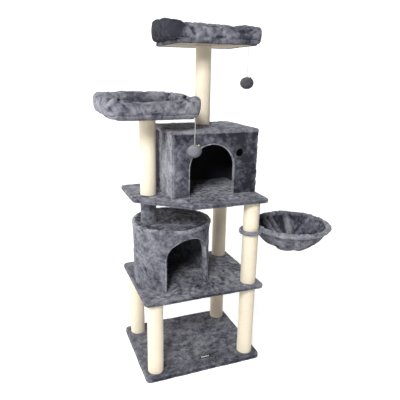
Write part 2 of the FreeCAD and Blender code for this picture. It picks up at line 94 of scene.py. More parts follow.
# How the pile's tone is mixed: its middle, strokes of a hand, small patches, broad ones, and how much painted
# shade goes in a groove and painted highlight on a ridge.
PILE_MIDDLE, STROKES, SMALL_PATCHES, BROAD_PATCHES, CAVITY_SHADE = 0.49, 0.16, 0.13, 0.14, 0.26


# ---- noise and folds --------------------------------------------------------------------------------
def lattice(cells, seed):
    """A repeatable value in [-1, 1] for each integer cell."""
    h = cells[:, 0] * 374761393 + cells[:, 1] * 668265263 + cells[:, 2] * 1440662683 + seed * 1274126177
    h = h & 0xFFFFFFFF
    h = ((h ^ (h >> 13)) * 1274126177) & 0xFFFFFFFF
    return ((h ^ (h >> 16)) & 0xFFFF) / 32767.5 - 1.0


def noise(points, size, seed=0):
    """Smooth noise in [-1, 1] whose features are about `size` metres wide."""
    p = np.asarray(points, float).reshape(-1, 3) / size
    cell = np.floor(p).astype(np.int64)
    f = p - cell
    f = f * f * (3 - 2 * f)
    total = np.zeros(len(p))
    for corner in ((i, j, k) for i in (0, 1) for j in (0, 1) for k in (0, 1)):
        weight = np.ones(len(p))
        for axis in range(3):
            weight *= f[:, axis] if corner[axis] else 1 - f[:, axis]
        total += weight * lattice(cell + corner, seed)
    return total


def folds(s, q, creases, around=0.0):
    """Heights of soft folds on a surface with coordinates s and q. A crease is its middle's s and q, its
    direction, half length, half width and depth; `around` is the length after which s repeats."""
    height = np.zeros_like(s)
    for s0, q0, direction, length, width, depth in creases:
        ds, dq = s - s0, q - q0
        if around:
            ds = (ds + around / 2) % around - around / 2
        along = ds * math.cos(direction) + dq * math.sin(direction)
        across = dq * math.cos(direction) - ds * math.sin(direction)
        across = across + 0.12 * along * np.sin(along / length * 1.7 + s0 * 90)
        groove = np.exp(-((across / width) ** 2))
        ridges = 0.4 * np.exp(-(((np.abs(across) - 1.9 * width) / width) ** 2))
        height += depth * (ridges - groove) * np.exp(-((along / length) ** 4))
    return height


# ---- mesh helpers -----------------------------------------------------------------------------------
def mesh_object(name, points, faces):
    mesh = bpy.data.meshes.new(name)
    mesh.from_pydata(np.asarray(points).reshape(-1, 3).tolist(), [], [list(f) for f in faces])
    mesh.polygons.foreach_set("use_smooth", np.ones(len(mesh.polygons), bool))
    mesh.update()
    obj = bpy.data.objects.new(name, mesh)
    bpy.context.scene.collection.objects.link(obj)
    return obj


def full_turn(count):
    """Angles evenly round a circle."""
    return np.arange(count) * 2 * math.pi / count


def outward_at(angle):
    """Unit vectors out from an upright axis."""
    return np.stack([np.cos(angle), np.sin(angle), 0 * angle], -1)


def upright(node):
    """The axis, the radius, the foot and the top of a round node: x, y, radius, low z, high z."""
    low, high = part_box(node)
    return (low.x + high.x) / 2, (low.y + high.y) / 2, (high.x - low.x) / 2, low.z, high.z


def grid_faces(rows, cols, wrap_rows=False, wrap_cols=False):
    """The four corners of each face of a grid of points."""
    r, c = np.meshgrid(np.arange(rows if wrap_rows else rows - 1),
                       np.arange(cols if wrap_cols else cols - 1), indexing="ij")
    r1, c1 = (r + 1) % rows, (c + 1) % cols
    return np.stack([r * cols + c, r * cols + c1, r1 * cols + c1, r1 * cols + c], -1).reshape(-1, 4)


def capped_faces(rows, cols):
    """The faces of a tube whose rows of points go round it, and a face at each end."""
    ends = [tuple(range(cols)), tuple(range((rows - 1) * cols, rows * cols))]
    return [tuple(f) for f in grid_faces(rows, cols, False, True)] + ends


def grid_object(name, points, wrap_rows=False, wrap_cols=False):
    rows, cols = points.shape[:2]
    return mesh_object(name, points, grid_faces(rows, cols, wrap_rows, wrap_cols))


def merge(obj, outward=False):
    """Joins coincident points, and for a closed mesh turns its faces outward."""
    work = bmesh.new()
    work.from_mesh(obj.data)
    bmesh.ops.remove_doubles(work, verts=work.verts, dist=5e-5)
    if outward:
        bmesh.ops.recalc_face_normals(work, faces=work.faces)
    work.to_mesh(obj.data)
    work.free()
    obj.data.update()
    return obj


def fill_holes(obj):
    """Closes an open mesh with flat faces and turns its faces outward."""
    work = bmesh.new()
    work.from_mesh(obj.data)
    bmesh.ops.holes_fill(work, edges=[e for e in work.edges if e.is_boundary], sides=0)
    bmesh.ops.recalc_face_normals(work, faces=work.faces)
    work.to_mesh(obj.data)
    work.free()


def read_vectors(obj, what):
    values = np.zeros(len(obj.data.vertices) * 3)
    obj.data.vertices.foreach_get(what, values)
    return values.reshape(-1, 3)


def read_points(obj):
    return read_vectors(obj, "co")


def read_normals(obj):
    return read_vectors(obj, "normal")


def write_points(obj, points):
    obj.data.vertices.foreach_set("co", np.asarray(points, float).ravel())
    obj.data.update()


def nap(obj, seed, amount=1.0, floor=None):
    """Uneven pile: the surface moves along its own normals by a millimetre or two."""
    points, normals = read_points(obj), read_normals(obj)
    lift = 0.0006 * noise(points, 0.009, seed) + 0.0008 * noise(points, 0.024, seed + 1)
    lift += 0.0010 * noise(points, 0.085, seed + 2)
    points = points + normals * (amount * lift)[:, None]
    if floor is not None:
        points[:, 2] = np.maximum(points[:, 2], floor)
    write_points(obj, points)
    return obj


def thicken(obj, thickness):
    solid = obj.modifiers.new("thickness", "SOLIDIFY")
    solid.thickness = thickness
    solid.offset = -1.0
    return obj


def unit(v):
    v = np.asarray(v, float)
    return v / np.maximum(np.linalg.norm(v, axis=-1, keepdims=True), 1e-12)


def rectangle(x0, x1, y0, y1):
    return [(x0, y0), (x1, y0), (x1, y1), (x0, y1)]


def rounded_outline(corners, radius, inset=0.0, step=GRAIN, arc_points=7):
    """A convex counterclockwise outline with rounded corners, moved in by an inset.
    Every inset of one outline has the same number of points."""
    corners = np.array(corners, float)
    into = unit(corners - np.roll(corners, 1, 0))
    away = unit(np.roll(corners, -1, 0) - corners)
    left_in = np.stack([-into[:, 1], into[:, 0]], -1)
    left_out = np.stack([-away[:, 1], away[:, 0]], -1)
    cos_turn = (into * away).sum(1)
    bisector = (left_in + left_out) / (1 + cos_turn)[:, None]
    half_tan = np.sqrt((1 - cos_turn) / (1 + cos_turn))
    r = max(radius - inset, 0.0006)
    moved = corners + inset * bisector
    centres = moved + r * bisector
    out = []
    for i in range(len(corners)):
        start = math.atan2(-left_in[i, 1], -left_in[i, 0])
        turn = math.acos(max(-1.0, min(1.0, cos_turn[i])))
        for a in start + np.linspace(0, 1, arc_points) * turn:
            out.append((centres[i, 0] + r * math.cos(a), centres[i, 1] + r * math.sin(a)))
        j = (i + 1) % len(corners)
        straight = np.linalg.norm(corners[j] - corners[i]) - radius * (half_tan[i] + half_tan[j])
        count = max(2, round(straight / step))
        begin = moved[i] + away[i] * r * half_tan[i]
        end = moved[j] - away[i] * r * half_tan[j]
        for t in np.arange(1, count) / count:
            out.append(tuple(begin + (end - begin) * t))
    return np.array(out)


def subdivided(loop, step=GRAIN, closed=True):
    """A closed loop, or an open path, with no edge much longer than the step."""
    out = []
    for a, b in zip(loop, np.roll(loop, -1, 0) if closed else loop[1:]):
        count = max(1, round(np.linalg.norm(b - a) / step))
        out += [a + (b - a) * t for t in np.arange(count) / count]
    return np.array(out if closed else out + [loop[-1]])


def inside(points, loops):
    """Whether each point is inside an odd number of the loops."""
    x, y = points[:, :1], points[:, 1:2]
    crossings = 0
    for loop in loops:
        a, b = loop, np.roll(loop, -1, 0)
        spans = (a[:, 1] > y) != (b[:, 1] > y)
        rise = np.where(a[:, 1] == b[:, 1], 1.0, b[:, 1] - a[:, 1])
        crossings = crossings + (spans & (x < a[:, 0] + (y - a[:, 1]) * (b[:, 0] - a[:, 0]) / rise)).sum(1)
    return crossings % 2 == 1


def clearance(points, loops):
    """How far each point is from the nearest loop."""
    nearest = np.full(len(points), np.inf)
    for loop in loops:
        edge = np.roll(loop, -1, 0) - loop
        from_start = points[:, None] - loop
        t = np.clip((from_start * edge).sum(-1) / (edge ** 2).sum(-1), 0, 1)
        nearest = np.minimum(nearest, np.linalg.norm(from_start - t[..., None] * edge, axis=-1).min(1))
    return nearest


def filled(loops, step=GRAIN):
    """Even triangles inside the first loop and outside the others: (points, triangles)."""
    low, high = loops[0].min(0), loops[0].max(0)
    x, y = np.meshgrid(np.arange(low[0], high[0], step), np.arange(low[1], high[1], step * 0.87))
    x[1::2] += step / 2
    grid = np.stack([x.ravel(), y.ravel()], -1)
    grid = grid[inside(grid, loops)]
    grid = grid[clearance(grid, loops) > 0.6 * step]
    edges, start = [], 0
    for loop in loops:
        n = len(loop)
        edges += [(start + i, start + (i + 1) % n) for i in range(n)]
        start += n
    flat = np.concatenate(list(loops) + [grid])
    result = delaunay_2d_cdt([Vector(p) for p in flat], edges, [], 0, 1e-7)
    points = np.array([tuple(p) for p in result[0]])
    triangles = np.array([tuple(t) for t in result[2]])
    return points, triangles[inside(points[triangles].mean(1), loops)]


def ring_lengths(path, closed=True):
    """How far along the path each of its points is."""
    steps = np.linalg.norm((np.roll(path, -1, 0) - path)[:None if closed else -1], axis=-1)
    return np.concatenate([[0], np.cumsum(steps)])


def tangents(path, closed):
    if closed:
        return unit(np.roll(path, -1, 0) - np.roll(path, 1, 0))
    return unit(np.gradient(path, axis=0))


def sweep(name, path, side, section, closed=False):
    """A tube along a path. The section, one per path point or one for all, is laid out along `side` and
    square to it."""
    path, side = np.asarray(path, float), unit(side)
    third = unit(np.cross(tangents(path, closed), side))
    section = np.broadcast_to(section, (len(path),) + np.shape(section)[-2:])
    points = path[:, None] + section[..., :1] * side[:, None] + section[..., 1:] * third[:, None]
    rows, cols = points.shape[:2]
    faces = grid_faces(rows, cols, True, True) if closed else capped_faces(rows, cols)
    return merge(mesh_object(name, points, faces), outward=True)


def oval(half_a, half_b, count=16, squareness=2.0):
    """A closed section from a circle (2) towards a rounded rectangle (4)."""
    c, s = np.cos(full_turn(count)), np.sin(full_turn(count))
    power = 2.0 / squareness
    return np.stack([half_a * np.sign(c) * np.abs(c) ** power, half_b * np.sign(s) * np.abs(s) ** power], -1)


# ---- materials --------------------------------------------------------------------------------------
class Shader:
    """A Principled material and short ways to add nodes to it."""

    def __init__(self, name, **sockets):
        self.material = bpy.data.materials.new(name)
        self.material.use_nodes = True
        self.tree = self.material.node_tree
        self.surface = self.tree.nodes["Principled BSDF"]
        self.object = self.add("TexCoord").outputs["Object"]
        for name, value in sockets.items():
            self.put(self.surface.inputs[name.replace("_", " ")], value)

    def put(self, socket, value):
        if isinstance(value, bpy.types.NodeSocket):
            self.tree.links.new(value, socket)
        else:
            socket.default_value = value

    def add(self, kind, inputs=(), **settings):
        node = self.tree.nodes.new("ShaderNode" + kind)
        for key, value in settings.items():
            setattr(node, key, value)
        for key, value in dict(inputs).items():
            self.put(node.inputs[key], value)
        return node

    def noise(self, scale, detail=2.0, roughness=0.5, distortion=0.0, vector=None):
        return self.add("TexNoise", {"Vector": vector or self.object, "Scale": scale, "Detail": detail,
                                     "Roughness": roughness, "Distortion": distortion}).outputs["Fac"]

    def stretched(self, x, y, z):
        return self.add("Mapping", {"Vector": self.object, "Scale": (x, y, z)}).outputs["Vector"]

    def math(self, operation, a, b=0.0):
        return self.add("Math", {0: a, 1: b}, operation=operation).outputs[0]

    def weighted(self, *parts):
        """The sum of the values, each times its weight."""
        total = 0.0
        for value, weight in parts:
            total = self.add("Math", {0: value, 1: weight, 2: total}, operation="MULTIPLY_ADD").outputs[0]
        return total

    def ramp(self, fac, *stops):
        node = self.add("ValToRGB", {"Fac": fac})
        for _ in stops[2:]:
            node.color_ramp.elements.new(0.5)
        for element, (position, color) in zip(node.color_ramp.elements, stops):
            element.position = position
            element.color = (*color, 1.0)
        return node.outputs["Color"]

    def finish(self, color, height=None, distance=0.001, strength=1.0):
        self.put(self.surface.inputs["Base Color"], color)
        if height is not None:
            bump = self.add("Bump", {"Height": height, "Distance": distance, "Strength": strength})
            self.put(self.surface.inputs["Normal"], bump.outputs["Normal"])
        return self.material


def shade(color, factor, blue=1.0):
    """The colour made lighter or darker, with its blue changed by one more factor."""
    r, g, b = (min(1.0, c * factor) for c in color)
    return r, g, min(1.0, b * blue)


def plush(name, color, sheen=0.22, tuft_share=0.36):
    """Short pile: patches of tone and painted light and shade from the mesh, crushed streaks, tufts of a
    centimetre and fine strands. The sheen follows the value: weak in dark patches and painted shade, strong
    in light patches and painted light."""
    s = Shader(name, Roughness=0.9, Sheen_Roughness=0.4, Specular_IOR_Level=0.15,
               Sheen_Tint=(0.84, 0.85, 0.92, 1.0))
    brushed = s.add("Attribute", attribute_name="brushed").outputs["Fac"]
    tufts = s.noise(85.0, 5.0, 0.75, 0.9)
    crushed = s.noise(30.0, 6.0, 0.70, 1.6)
    strands = s.noise(900.0, 2.0, 0.6, vector=s.stretched(1.0, 1.0, 0.45))
    value = s.weighted((brushed, 0.54), (crushed, 0.66), (tufts, tuft_share + 0.10), (strands, 0.10))
    value = s.math("SUBTRACT", value, (tuft_share + 0.40) / 2)
    ramp = s.ramp(value, (0.27, shade(color, 0.20, 1.15)), (0.42, shade(color, 0.66, 1.06)),
                  (0.55, shade(color, 1.22, 0.97)), (0.74, shade(color, 2.25, 0.90)))
    # The sheen follows the value, so painted shade dims it and painted light brightens it.
    s.put(s.surface.inputs["Sheen Weight"], s.math("MULTIPLY", s.math("POWER", value, 2.0), 4 * sheen))
    return s.finish(ramp, s.weighted((tufts, 0.7), (strands, 0.5)), 0.0035)


def sisal():
    """Rope wound in turns: twisted strands across each turn and shade in the grooves between them.
    The UV map holds the part of a turn that is done, and the turn."""
    s = Shader("sisal", Roughness=0.82, Specular_IOR_Level=0.2, Sheen_Weight=0.15)
    parts = s.add("SeparateXYZ", {0: s.add("TexCoord").outputs["UV"]})
    part, turn = parts.outputs[0], parts.outputs[1]
    across = s.math("FRACT", turn)
    strands = s.weighted((s.math("ADD", s.math("FLOOR", turn), part), 41.3), (across, 1.1))
    twist = s.math("SINE", s.math("MULTIPLY", strands, 2 * math.pi))
    bulge = s.math("MULTIPLY", s.math("MULTIPLY", across, s.math("SUBTRACT", 1.0, across)), 4.0)
    groove = s.math("POWER", bulge, 0.45)
    fibre = s.noise(1.0, 4.0, 0.6, vector=s.stretched(150.0, 150.0, 900.0))
    value = s.weighted((groove, 0.34), (fibre, 0.42), (twist, 0.05), (s.noise(7.0, 2.0), 0.14))
    ramp = s.ramp(value, (0.26, (0.36, 0.28, 0.17)), (0.46, (0.60, 0.52, 0.39)), (0.68, (0.72, 0.66, 0.54)))
    return s.finish(ramp, s.weighted((twist, 0.35), (fibre, 1.0)), 0.0006)


def pressed_board(name, dark, light, grain=260.0, roughness=0.8):
    """Pressed chips or paper: flat flakes of uneven tone."""
    s = Shader(name, Roughness=roughness, Specular_IOR_Level=0.25)
    flakes = s.noise(grain, 3.0, 0.7, 0.4)
    value = s.weighted((flakes, 0.7), (s.noise(18.0, 2.0), 0.3))
    return s.finish(s.ramp(value, (0.35, dark), (0.65, light)), flakes, 0.0005)


def wound_paper():
    """A pressed paper tube, wound in a spiral."""
    s = Shader("cardboard", Roughness=0.85, Specular_IOR_Level=0.2)
    wave = s.add("TexWave", {"Vector": s.stretched(1.0, 1.0, 1.6), "Scale": 5.0, "Distortion": 0.4,
                             "Detail": 2.0}).outputs["Fac"]
    fibre = s.noise(320.0, 3.0, 0.7)
    value = s.weighted((wave, 0.25), (fibre, 0.75))
    return s.finish(s.ramp(value, (0.3, (0.36, 0.25, 0.15)), (0.7, (0.60, 0.46, 0.31))), fibre, 0.0004)


def turned_wood():
    s = Shader("plug_wood", Roughness=0.65, Specular_IOR_Level=0.3)
    rings = s.add("TexWave", {"Vector": s.stretched(1.0, 0.25, 1.0), "Scale": 60.0, "Distortion": 5.0,
                              "Detail": 3.0}).outputs["Fac"]
    fine = s.noise(500.0, 3.0, 0.6, vector=s.stretched(1.0, 0.2, 1.0))
    value = s.weighted((rings, 0.5), (fine, 0.5))
    return s.finish(s.ramp(value, (0.3, (0.45, 0.30, 0.16)), (0.7, (0.74, 0.58, 0.38))), value, 0.0003)


def metal(name, color, roughness):
    s = Shader(name, Metallic=1.0)
    scratches = s.noise(600.0, 3.0, 0.6, vector=s.stretched(1.0, 1.0, 0.1))
    s.put(s.surface.inputs["Roughness"], s.weighted((scratches, 0.3), (roughness, 1.0)))
    return s.finish(s.ramp(scratches, (0.3, shade(color, 0.8)), (0.7, color)), scratches, 0.0001)


def felt(name, color, grain=700.0):
    """Non-woven sheet or short yarn."""
    s = Shader(name, Roughness=0.92, Specular_IOR_Level=0.15, Sheen_Weight=0.2)
    fibres = s.noise(grain, 4.0, 0.7, 1.0)
    return s.finish(s.ramp(fibres, (0.35, shade(color, 0.6)), (0.65, shade(color, 1.35))), fibres, 0.0006)


def cord_material():
    """Braided white elastic."""
    s = Shader("string", Roughness=0.7, Specular_IOR_Level=0.3, Sheen_Weight=0.2)
    braid = s.add("TexWave", {"Vector": s.stretched(1.0, 1.0, 1.0), "Scale": 120.0, "Distortion": 1.5,
                              "Detail": 1.0}, bands_direction="DIAGONAL").outputs["Fac"]
    return s.finish(s.ramp(braid, (0.1, (0.26, 0.25, 0.24)), (0.6, (0.46, 0.46, 0.44))), braid, 0.0003)


def bell_paint():
    s = Shader("bell", Metallic=0.7, Coat_Weight=0.4)
    wear = s.noise(420.0, 4.0, 0.6)
    s.put(s.surface.inputs["Roughness"], s.weighted((wear, 0.3), (0.18, 1.0)))
    return s.finish(s.ramp(wear, (0.35, (0.42, 0.50, 0.10)), (0.65, (0.72, 0.80, 0.20))), wear, 0.0001)


def woven_label(low, high):
    """Black woven tag with one pale bar in place of any words."""
    s = Shader("label", Roughness=0.6, Specular_IOR_Level=0.3)
    place = s.add("SeparateXYZ", {0: s.object}).outputs
    threads = s.add("TexWave", {"Vector": s.object, "Scale": 260.0}, bands_direction="X").outputs["Fac"]

    def within(axis, half):
        off = s.math("ABSOLUTE", s.math("SUBTRACT", place[axis], (low[axis] + high[axis]) / 2))
        return s.math("LESS_THAN", off, half)

    bar = s.math("MULTIPLY", within(0, 0.021), within(1, 0.0028))
    return s.finish(s.ramp(s.weighted((bar, 0.8), (threads, 0.15)), (0.0, (0.006, 0.006, 0.007)),
                           (0.15, (0.02, 0.02, 0.022)), (0.8, (0.62, 0.62, 0.64)), (1.0, (0.80, 0.80, 0.82))),
                    threads, 0.0003)


GREY = (0.092, 0.093, 0.114)
PLUSHES = ("plush", "plush_trim", "padded_plush", "basket_plush")

MATERIALS = {
    "plush": plush("plush", GREY),
    "plush_trim": plush("plush_trim", shade(GREY, 1.35), 0.28, 0.45),
    "padded_plush": plush("padded_plush", shade(GREY, 1.06), 0.12),
    "basket_plush": plush("basket_plush", shade(GREY, 1.12)),
    "sisal": sisal(),
    "cardboard": wound_paper(),
    "plug_wood": turned_wood(),
    "dark_board": pressed_board("dark_board", (0.020, 0.020, 0.025), (0.042, 0.042, 0.050)),
    "fibreboard": pressed_board("fibreboard", (0.30, 0.25, 0.18), (0.46, 0.41, 0.33)),
    "zinc_steel": metal("zinc_steel", (0.66, 0.67, 0.68), 0.22),
    "steel_wire": metal("steel_wire", (0.42, 0.43, 0.45), 0.30),
    "liner": felt("liner", (0.018, 0.018, 0.021)),
    "label": woven_label(*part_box("base_label")),
    "string": cord_material(),
    "pompom": felt("pompom", (0.190, 0.192, 0.215), 420.0),
    "dark_pompom": felt("dark_pompom", (0.070, 0.071, 0.082), 420.0),
    "bell": bell_paint(),
}
SLOT_OF = {row["node"]: row["material_slot"] for row in frame["record"]["subparts"]}


def cavity(obj):
    """How hollow the surface is at each point: -1 on a ridge, 1 in a groove."""
    points, normals = read_points(obj), read_normals(obj)
    ends = np.zeros(len(obj.data.edges) * 2, np.int32)
    obj.data.edges.foreach_get("vertices", ends)
    a, b = ends.reshape(-1, 2).T
    a, b = np.concatenate([a, b]), np.concatenate([b, a])
    count = np.maximum(np.bincount(a, minlength=len(points)), 1)

    def around(values):
        return np.bincount(a, values[b], len(points)) / count

    hollow = sum((around(points[:, i]) - points[:, i]) * normals[:, i] for i in range(3))
    for _ in range(3):
        hollow = (hollow + around(hollow)) / 2
    return np.tanh(hollow / 0.0006)


def brush(obj, lightness):
    """Stores the pile's tone at each point: random strokes and patches, painted shade in its grooves and
    painted highlight on its ridges. The lightness to add, mostly painted light and shade, is a number, or a
    function of the points."""
    points = read_points(obj)
    warp = np.stack([noise(points, 0.055, k) for k in (901, 902, 903)], -1) * 0.024
    strokes = np.tanh(1.9 * noise((points + warp) * (1.0, 1.0, 0.7), 0.028, 904))
    small = np.tanh(1.6 * noise(points + 0.4 * warp, 0.013, 905))
    broad = noise(points, 0.12, 906)
    added = lightness(points) if callable(lightness) else lightness
    value = PILE_MIDDLE + STROKES * strokes + SMALL_PATCHES * small + BROAD_PATCHES * broad
    # Painted shade in grooves and painted highlight on ridges, then the added lightness.
    value = value - CAVITY_SHADE * cavity(obj) + added
    # The attribute holds the pile's tone together with painted light and shade.
    attribute = obj.data.attributes.new("brushed", "FLOAT", "POINT")
    attribute.data.foreach_set("value", np.clip(value, 0.0, 1.0))


def ease(x, low, high):
    """0 below low, 1 above high, smooth between."""
    t = np.clip((x - low) / (high - low), 0, 1)
    return t * t * (3 - 2 * t)


def settle(obj, body, *nodes, slot=None, lightness=0.0, look=None):
    """Puts a finished piece on its body with its material, in place of its CAD nodes."""
    slot = slot or SLOT_OF[nodes[0]]
    if slot in PLUSHES:
        brush(obj, lightness)
    obj.data.materials.append(MATERIALS[look or slot])
    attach(obj, body)
    if nodes:
        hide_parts(*nodes)
    return obj


# ---- boards -----------------------------------------------------------------------------------------
def covered(name, corners, radius, profile, crown=0.0, creases=()):
    """A plush lid: rings of (inset, height) from its lowest inner edge up to its top, and the top itself."""
    rings = []
    for inset, z in profile:
        outline = rounded_outline(corners, radius, inset)
        rings.append(np.column_stack([outline, np.full(len(outline), z)]))
    flat, triangles = filled([outline])
    rise = crown * np.clip(clearance(flat, [outline]) / CROWN_RUN, 0, 1) ** 0.5
    rise = np.maximum(rise + folds(flat[:, 0], flat[:, 1], creases), -DEEPEST_FOLD)
    shell = np.concatenate(rings + [np.column_stack([flat, profile[-1][1] + rise])])
    faces = [tuple(f) for f in grid_faces(len(rings), len(outline), False, True)]
    faces += [tuple(f) for f in triangles + len(rings) * len(outline)]
    return merge(mesh_object(name, shell, faces))


def board_profile(low, high, fold, edge=EDGE):
    """Under the board, round its lower edge, up its side and round its upper edge."""
    under = [(fold, low), (fold * 0.7, low), (fold * 0.4, low), (0.005, low), (0.0014, low + 0.0012)]
    side = [(0.0, z) for z in np.linspace(low + 0.0045, high - edge, max(2, round((high - low) / 0.005)))]
    quarter = np.linspace(0.3, 1.0, 4) * math.pi / 2
    upper = [(edge * (1 - math.cos(a)), high - edge * (1 - math.sin(a))) for a in quarter]
    return under + side + upper + [(edge + 0.004, high)]


def board(name, node, corners, radius, fold, seed, crown=0.0, creases=(), lightness=0.0):
    """One board's plush cover, folded under its edges."""
    low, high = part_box(node)
    profile = board_profile(low.z, high.z, fold)
    obj = covered(name, corners, radius, profile, crown, creases)
    nap(obj, seed, 1.0, floor=low.z)
    thicken(obj, SKIN)
    settle(obj, "tree", node, lightness=lightness)


def random_creases(seed, count, s_range, q_range, length, width, depth):
    """Creases for folds(), in any direction, each measure drawn from its own range."""
    rng = np.random.default_rng(seed)
    return [(rng.uniform(*s_range), rng.uniform(*q_range), rng.uniform(0, math.pi), rng.uniform(*length),
             rng.uniform(*width), rng.uniform(*depth)) for _ in range(count)]


# Where each board's plush is crumpled, as in the photograph: seed, number of creases, range of x and of y.
CRUMPLED = {
    "base": [],
    "middle": [(73, 34, (-0.24, 0.24), (-0.23, -0.13)), (74, 16, (0.02, 0.27), (-0.16, 0.05))],
    "upper": [(75, 36, (-0.05, 0.17), (-0.10, 0.14)), (76, 22, (-0.26, 0.26), (-0.23, -0.13))],
}


def boards():
    """The plush on the three boards, crumpled where the photograph shows it, and on the perches' boards."""
    # The last number darkens each board's edges: painted shade.
    for level, seed, painted_side_shade in (("base", 11, -0.20), ("middle", 23, -0.26), ("upper", 37, -0.14)):
        low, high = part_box(level + "_plush")
        corners = rectangle(low.x, high.x, low.y, high.y)
        if level == "upper":
            corners = [(low.x, UPPER_CUT_Y), (UPPER_CUT_X, low.y)] + corners[1:]
        creases = random_creases(seed, 26, (low.x + 0.03, high.x - 0.03), (low.y + 0.03, high.y - 0.03),
                                 (0.02, 0.05), (0.005, 0.010), (0.0008, 0.0020))
        for area_seed, count, across, back in CRUMPLED[level]:
            creases += random_creases(area_seed, count, across, back, (0.012, 0.040), (0.004, 0.008),
                                      (0.0020, 0.0045))

        def lightness(points, top=high.z, light=painted_side_shade):
            """Painted shade: the board's edges are darker than its top."""
            return light * ease(top - points[:, 2], 0.003, 0.008)

        board(level + "_cover", level + "_plush", corners, PLATE_CORNER, FOLD_WIDTH, seed,
              CROWN[level], creases, lightness)
    for perch, seed, lightness in (("left_perch", 41, 0.06), ("top_perch", 53, -0.35)):
        low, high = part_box(perch + "_plush")
        board(perch + "_cover", perch + "_plush", rectangle(low.x, high.x, low.y, high.y), PERCH_CORNER,
              PERCH_FOLD, seed, lightness=lightness)


# ---- posts ------------------------------------------------------------------------------------------
def sisal_wrap(node, seed):
    """One rope wound tight round a post, each turn a little different."""
    x, y, radius, low_z, high_z = upright(node)
    rows = round((high_z - low_z) / ROPE * ROPE_ROWS) + 1
    z = np.linspace(low_z, high_z, rows)[:, None]
    part = (np.arange(POST_SEGMENTS) / POST_SEGMENTS)[None]
    turn = (z - low_z) / ROPE - part
    across = turn - np.floor(turn)
    bulge = np.sqrt(1 - 0.96 * (2 * across - 1) ** 2)
    cells = np.stack([np.floor(turn).astype(np.int64).ravel()] * 3, -1)
    r = radius + 0.0004 - 0.0011 * (1 - bulge) + 0.00018 * lattice(cells, seed).reshape(turn.shape)
    outward = outward_at(2 * math.pi * part)
    outer = r[..., None] * outward
    ends = (radius - 0.0025) * outward
    points = np.array([x, y, 0.0]) + np.concatenate([ends, outer, ends])
    heights = np.concatenate([[low_z], z[:, 0], [high_z]])
    points[..., 2] = heights[:, None]
    obj = grid_object(node.replace("_sisal", "_wrap"), points, wrap_rows=True, wrap_cols=True)
    row, col = np.meshgrid(np.arange(rows + 2), np.arange(POST_SEGMENTS), indexing="ij")
    uv = []
    for next_row, next_col in ((0, 0), (0, 1), (1, 1), (1, 0)):
        u = (col + next_col) / POST_SEGMENTS
        uv.append(np.stack([u, (heights[(row + next_row) % (rows + 2)] - low_z) / ROPE - u], -1))
    layer = obj.data.uv_layers.new(name="rope")
    layer.data.foreach_set("uv", np.stack(uv, 2).ravel())
    settle(obj, "tree", node)


def plush_post():
    """The short post's plush, wrapped once round it."""
    x, y, radius, low_z, high_z = upright("short_post_plush")
    rows = round((high_z - low_z) / GRAIN) + 1
    z = np.linspace(low_z, high_z, rows)[:, None]
    angle = full_turn(40)[None]
    around = 2 * math.pi * radius
    creases = random_creases(5, 9, (0, around), (low_z, high_z), (0.015, 0.035), (0.005, 0.009),
                             (0.001, 0.0025))
    r = radius + np.maximum(folds(angle * radius + 0 * z, z + 0 * angle, creases, around), -0.0008)
    points = np.array([x, y, 0.0]) + r[..., None] * outward_at(angle)
    points[..., 2] = z
    obj = grid_object("short_post_cover", points, wrap_cols=True)
    nap(obj, 61, 1.1)
    thicken(obj, SKIN)
    settle(obj, "tree", "short_post_plush")


def posts():
    for seed, node in enumerate(sorted(n for n in frame["nodes"] if n.endswith("_sisal"))):
        sisal_wrap(node, seed)
    plush_post()


# ---- round condo ------------------------------------------------------------------------------------
ROUND_X, ROUND_Y = upright("round_condo_plush")[:2]


def round_door(grow, foot_z):
    """The doorway from its left foot over its crown to its right foot, as (across, height)."""
    left, foot = ROUND_DOOR_LEFT - grow, ROUND_DOOR_FOOT + grow
    shoulder, top = ROUND_DOOR_SHOULDER + grow, ROUND_DOOR_TOP + grow
    crown, spring_l, spring_r = ROUND_DOOR_CROWN, ROUND_DOOR_SPRING, ROUND_DOOR_SPRING_RIGHT
    t = np.linspace(0, math.pi / 2, 26)[:, None]
    rise = np.hstack([crown + (left - crown) * np.cos(t), spring_l + (top - spring_l) * np.sin(t)])
    fall = np.hstack([crown + (shoulder - crown) * np.sin(t), spring_r + (top - spring_r) * np.cos(t)])
    jamb_l = np.column_stack([np.full(26, left), np.linspace(foot_z, spring_l, 26)])
    jamb_r = np.column_stack([np.linspace(shoulder, foot, 27), np.linspace(spring_r, foot_z, 27)])
    return np.concatenate([jamb_l[:-1], rise[:-1], fall[:-1], jamb_r])


def round_wall(name, node, flare, seed, amount):
    """A wall unrolled, cut round the doorway and rolled up, its seam at the back."""
    _, _, radius, low_z, high_z = upright(node)
    door = round_door(HEM, low_z)
    door = np.column_stack([radius * np.arcsin(door[:, 0] / radius), door[:, 1]])
    half = math.pi * radius
    loop = np.concatenate([[(-half, low_z)], door, [(half, low_z), (half, high_z), (-half, high_z)]])
    flat, triangles = filled([subdivided(loop)])
    s, z = flat[:, 0], flat[:, 1]
    near_top = np.clip((z - high_z) / 0.075 + 1, 0, 1)
    creases = random_creases(seed, 34, (-half, half), (low_z, high_z), (0.012, 0.040), (0.005, 0.010),
                             (0.0010, 0.0032))
    gathers = 0.0016 * noise(np.column_stack([s, 0 * s, 0 * s]), 0.011, seed + 4) * near_top ** 2
    r = radius + flare * near_top ** 2 + folds(s, z, creases) * amount + gathers * amount
    angle = ROUND_DOOR_AZ + s / radius
    points = np.column_stack([ROUND_X + r * np.cos(angle), ROUND_Y + r * np.sin(angle), z])
    obj = merge(mesh_object(name, points, triangles))
    nap(obj, seed, 1.2 * amount)
    thicken(obj, WALL_SKIN)
    settle(obj, "tree", node)


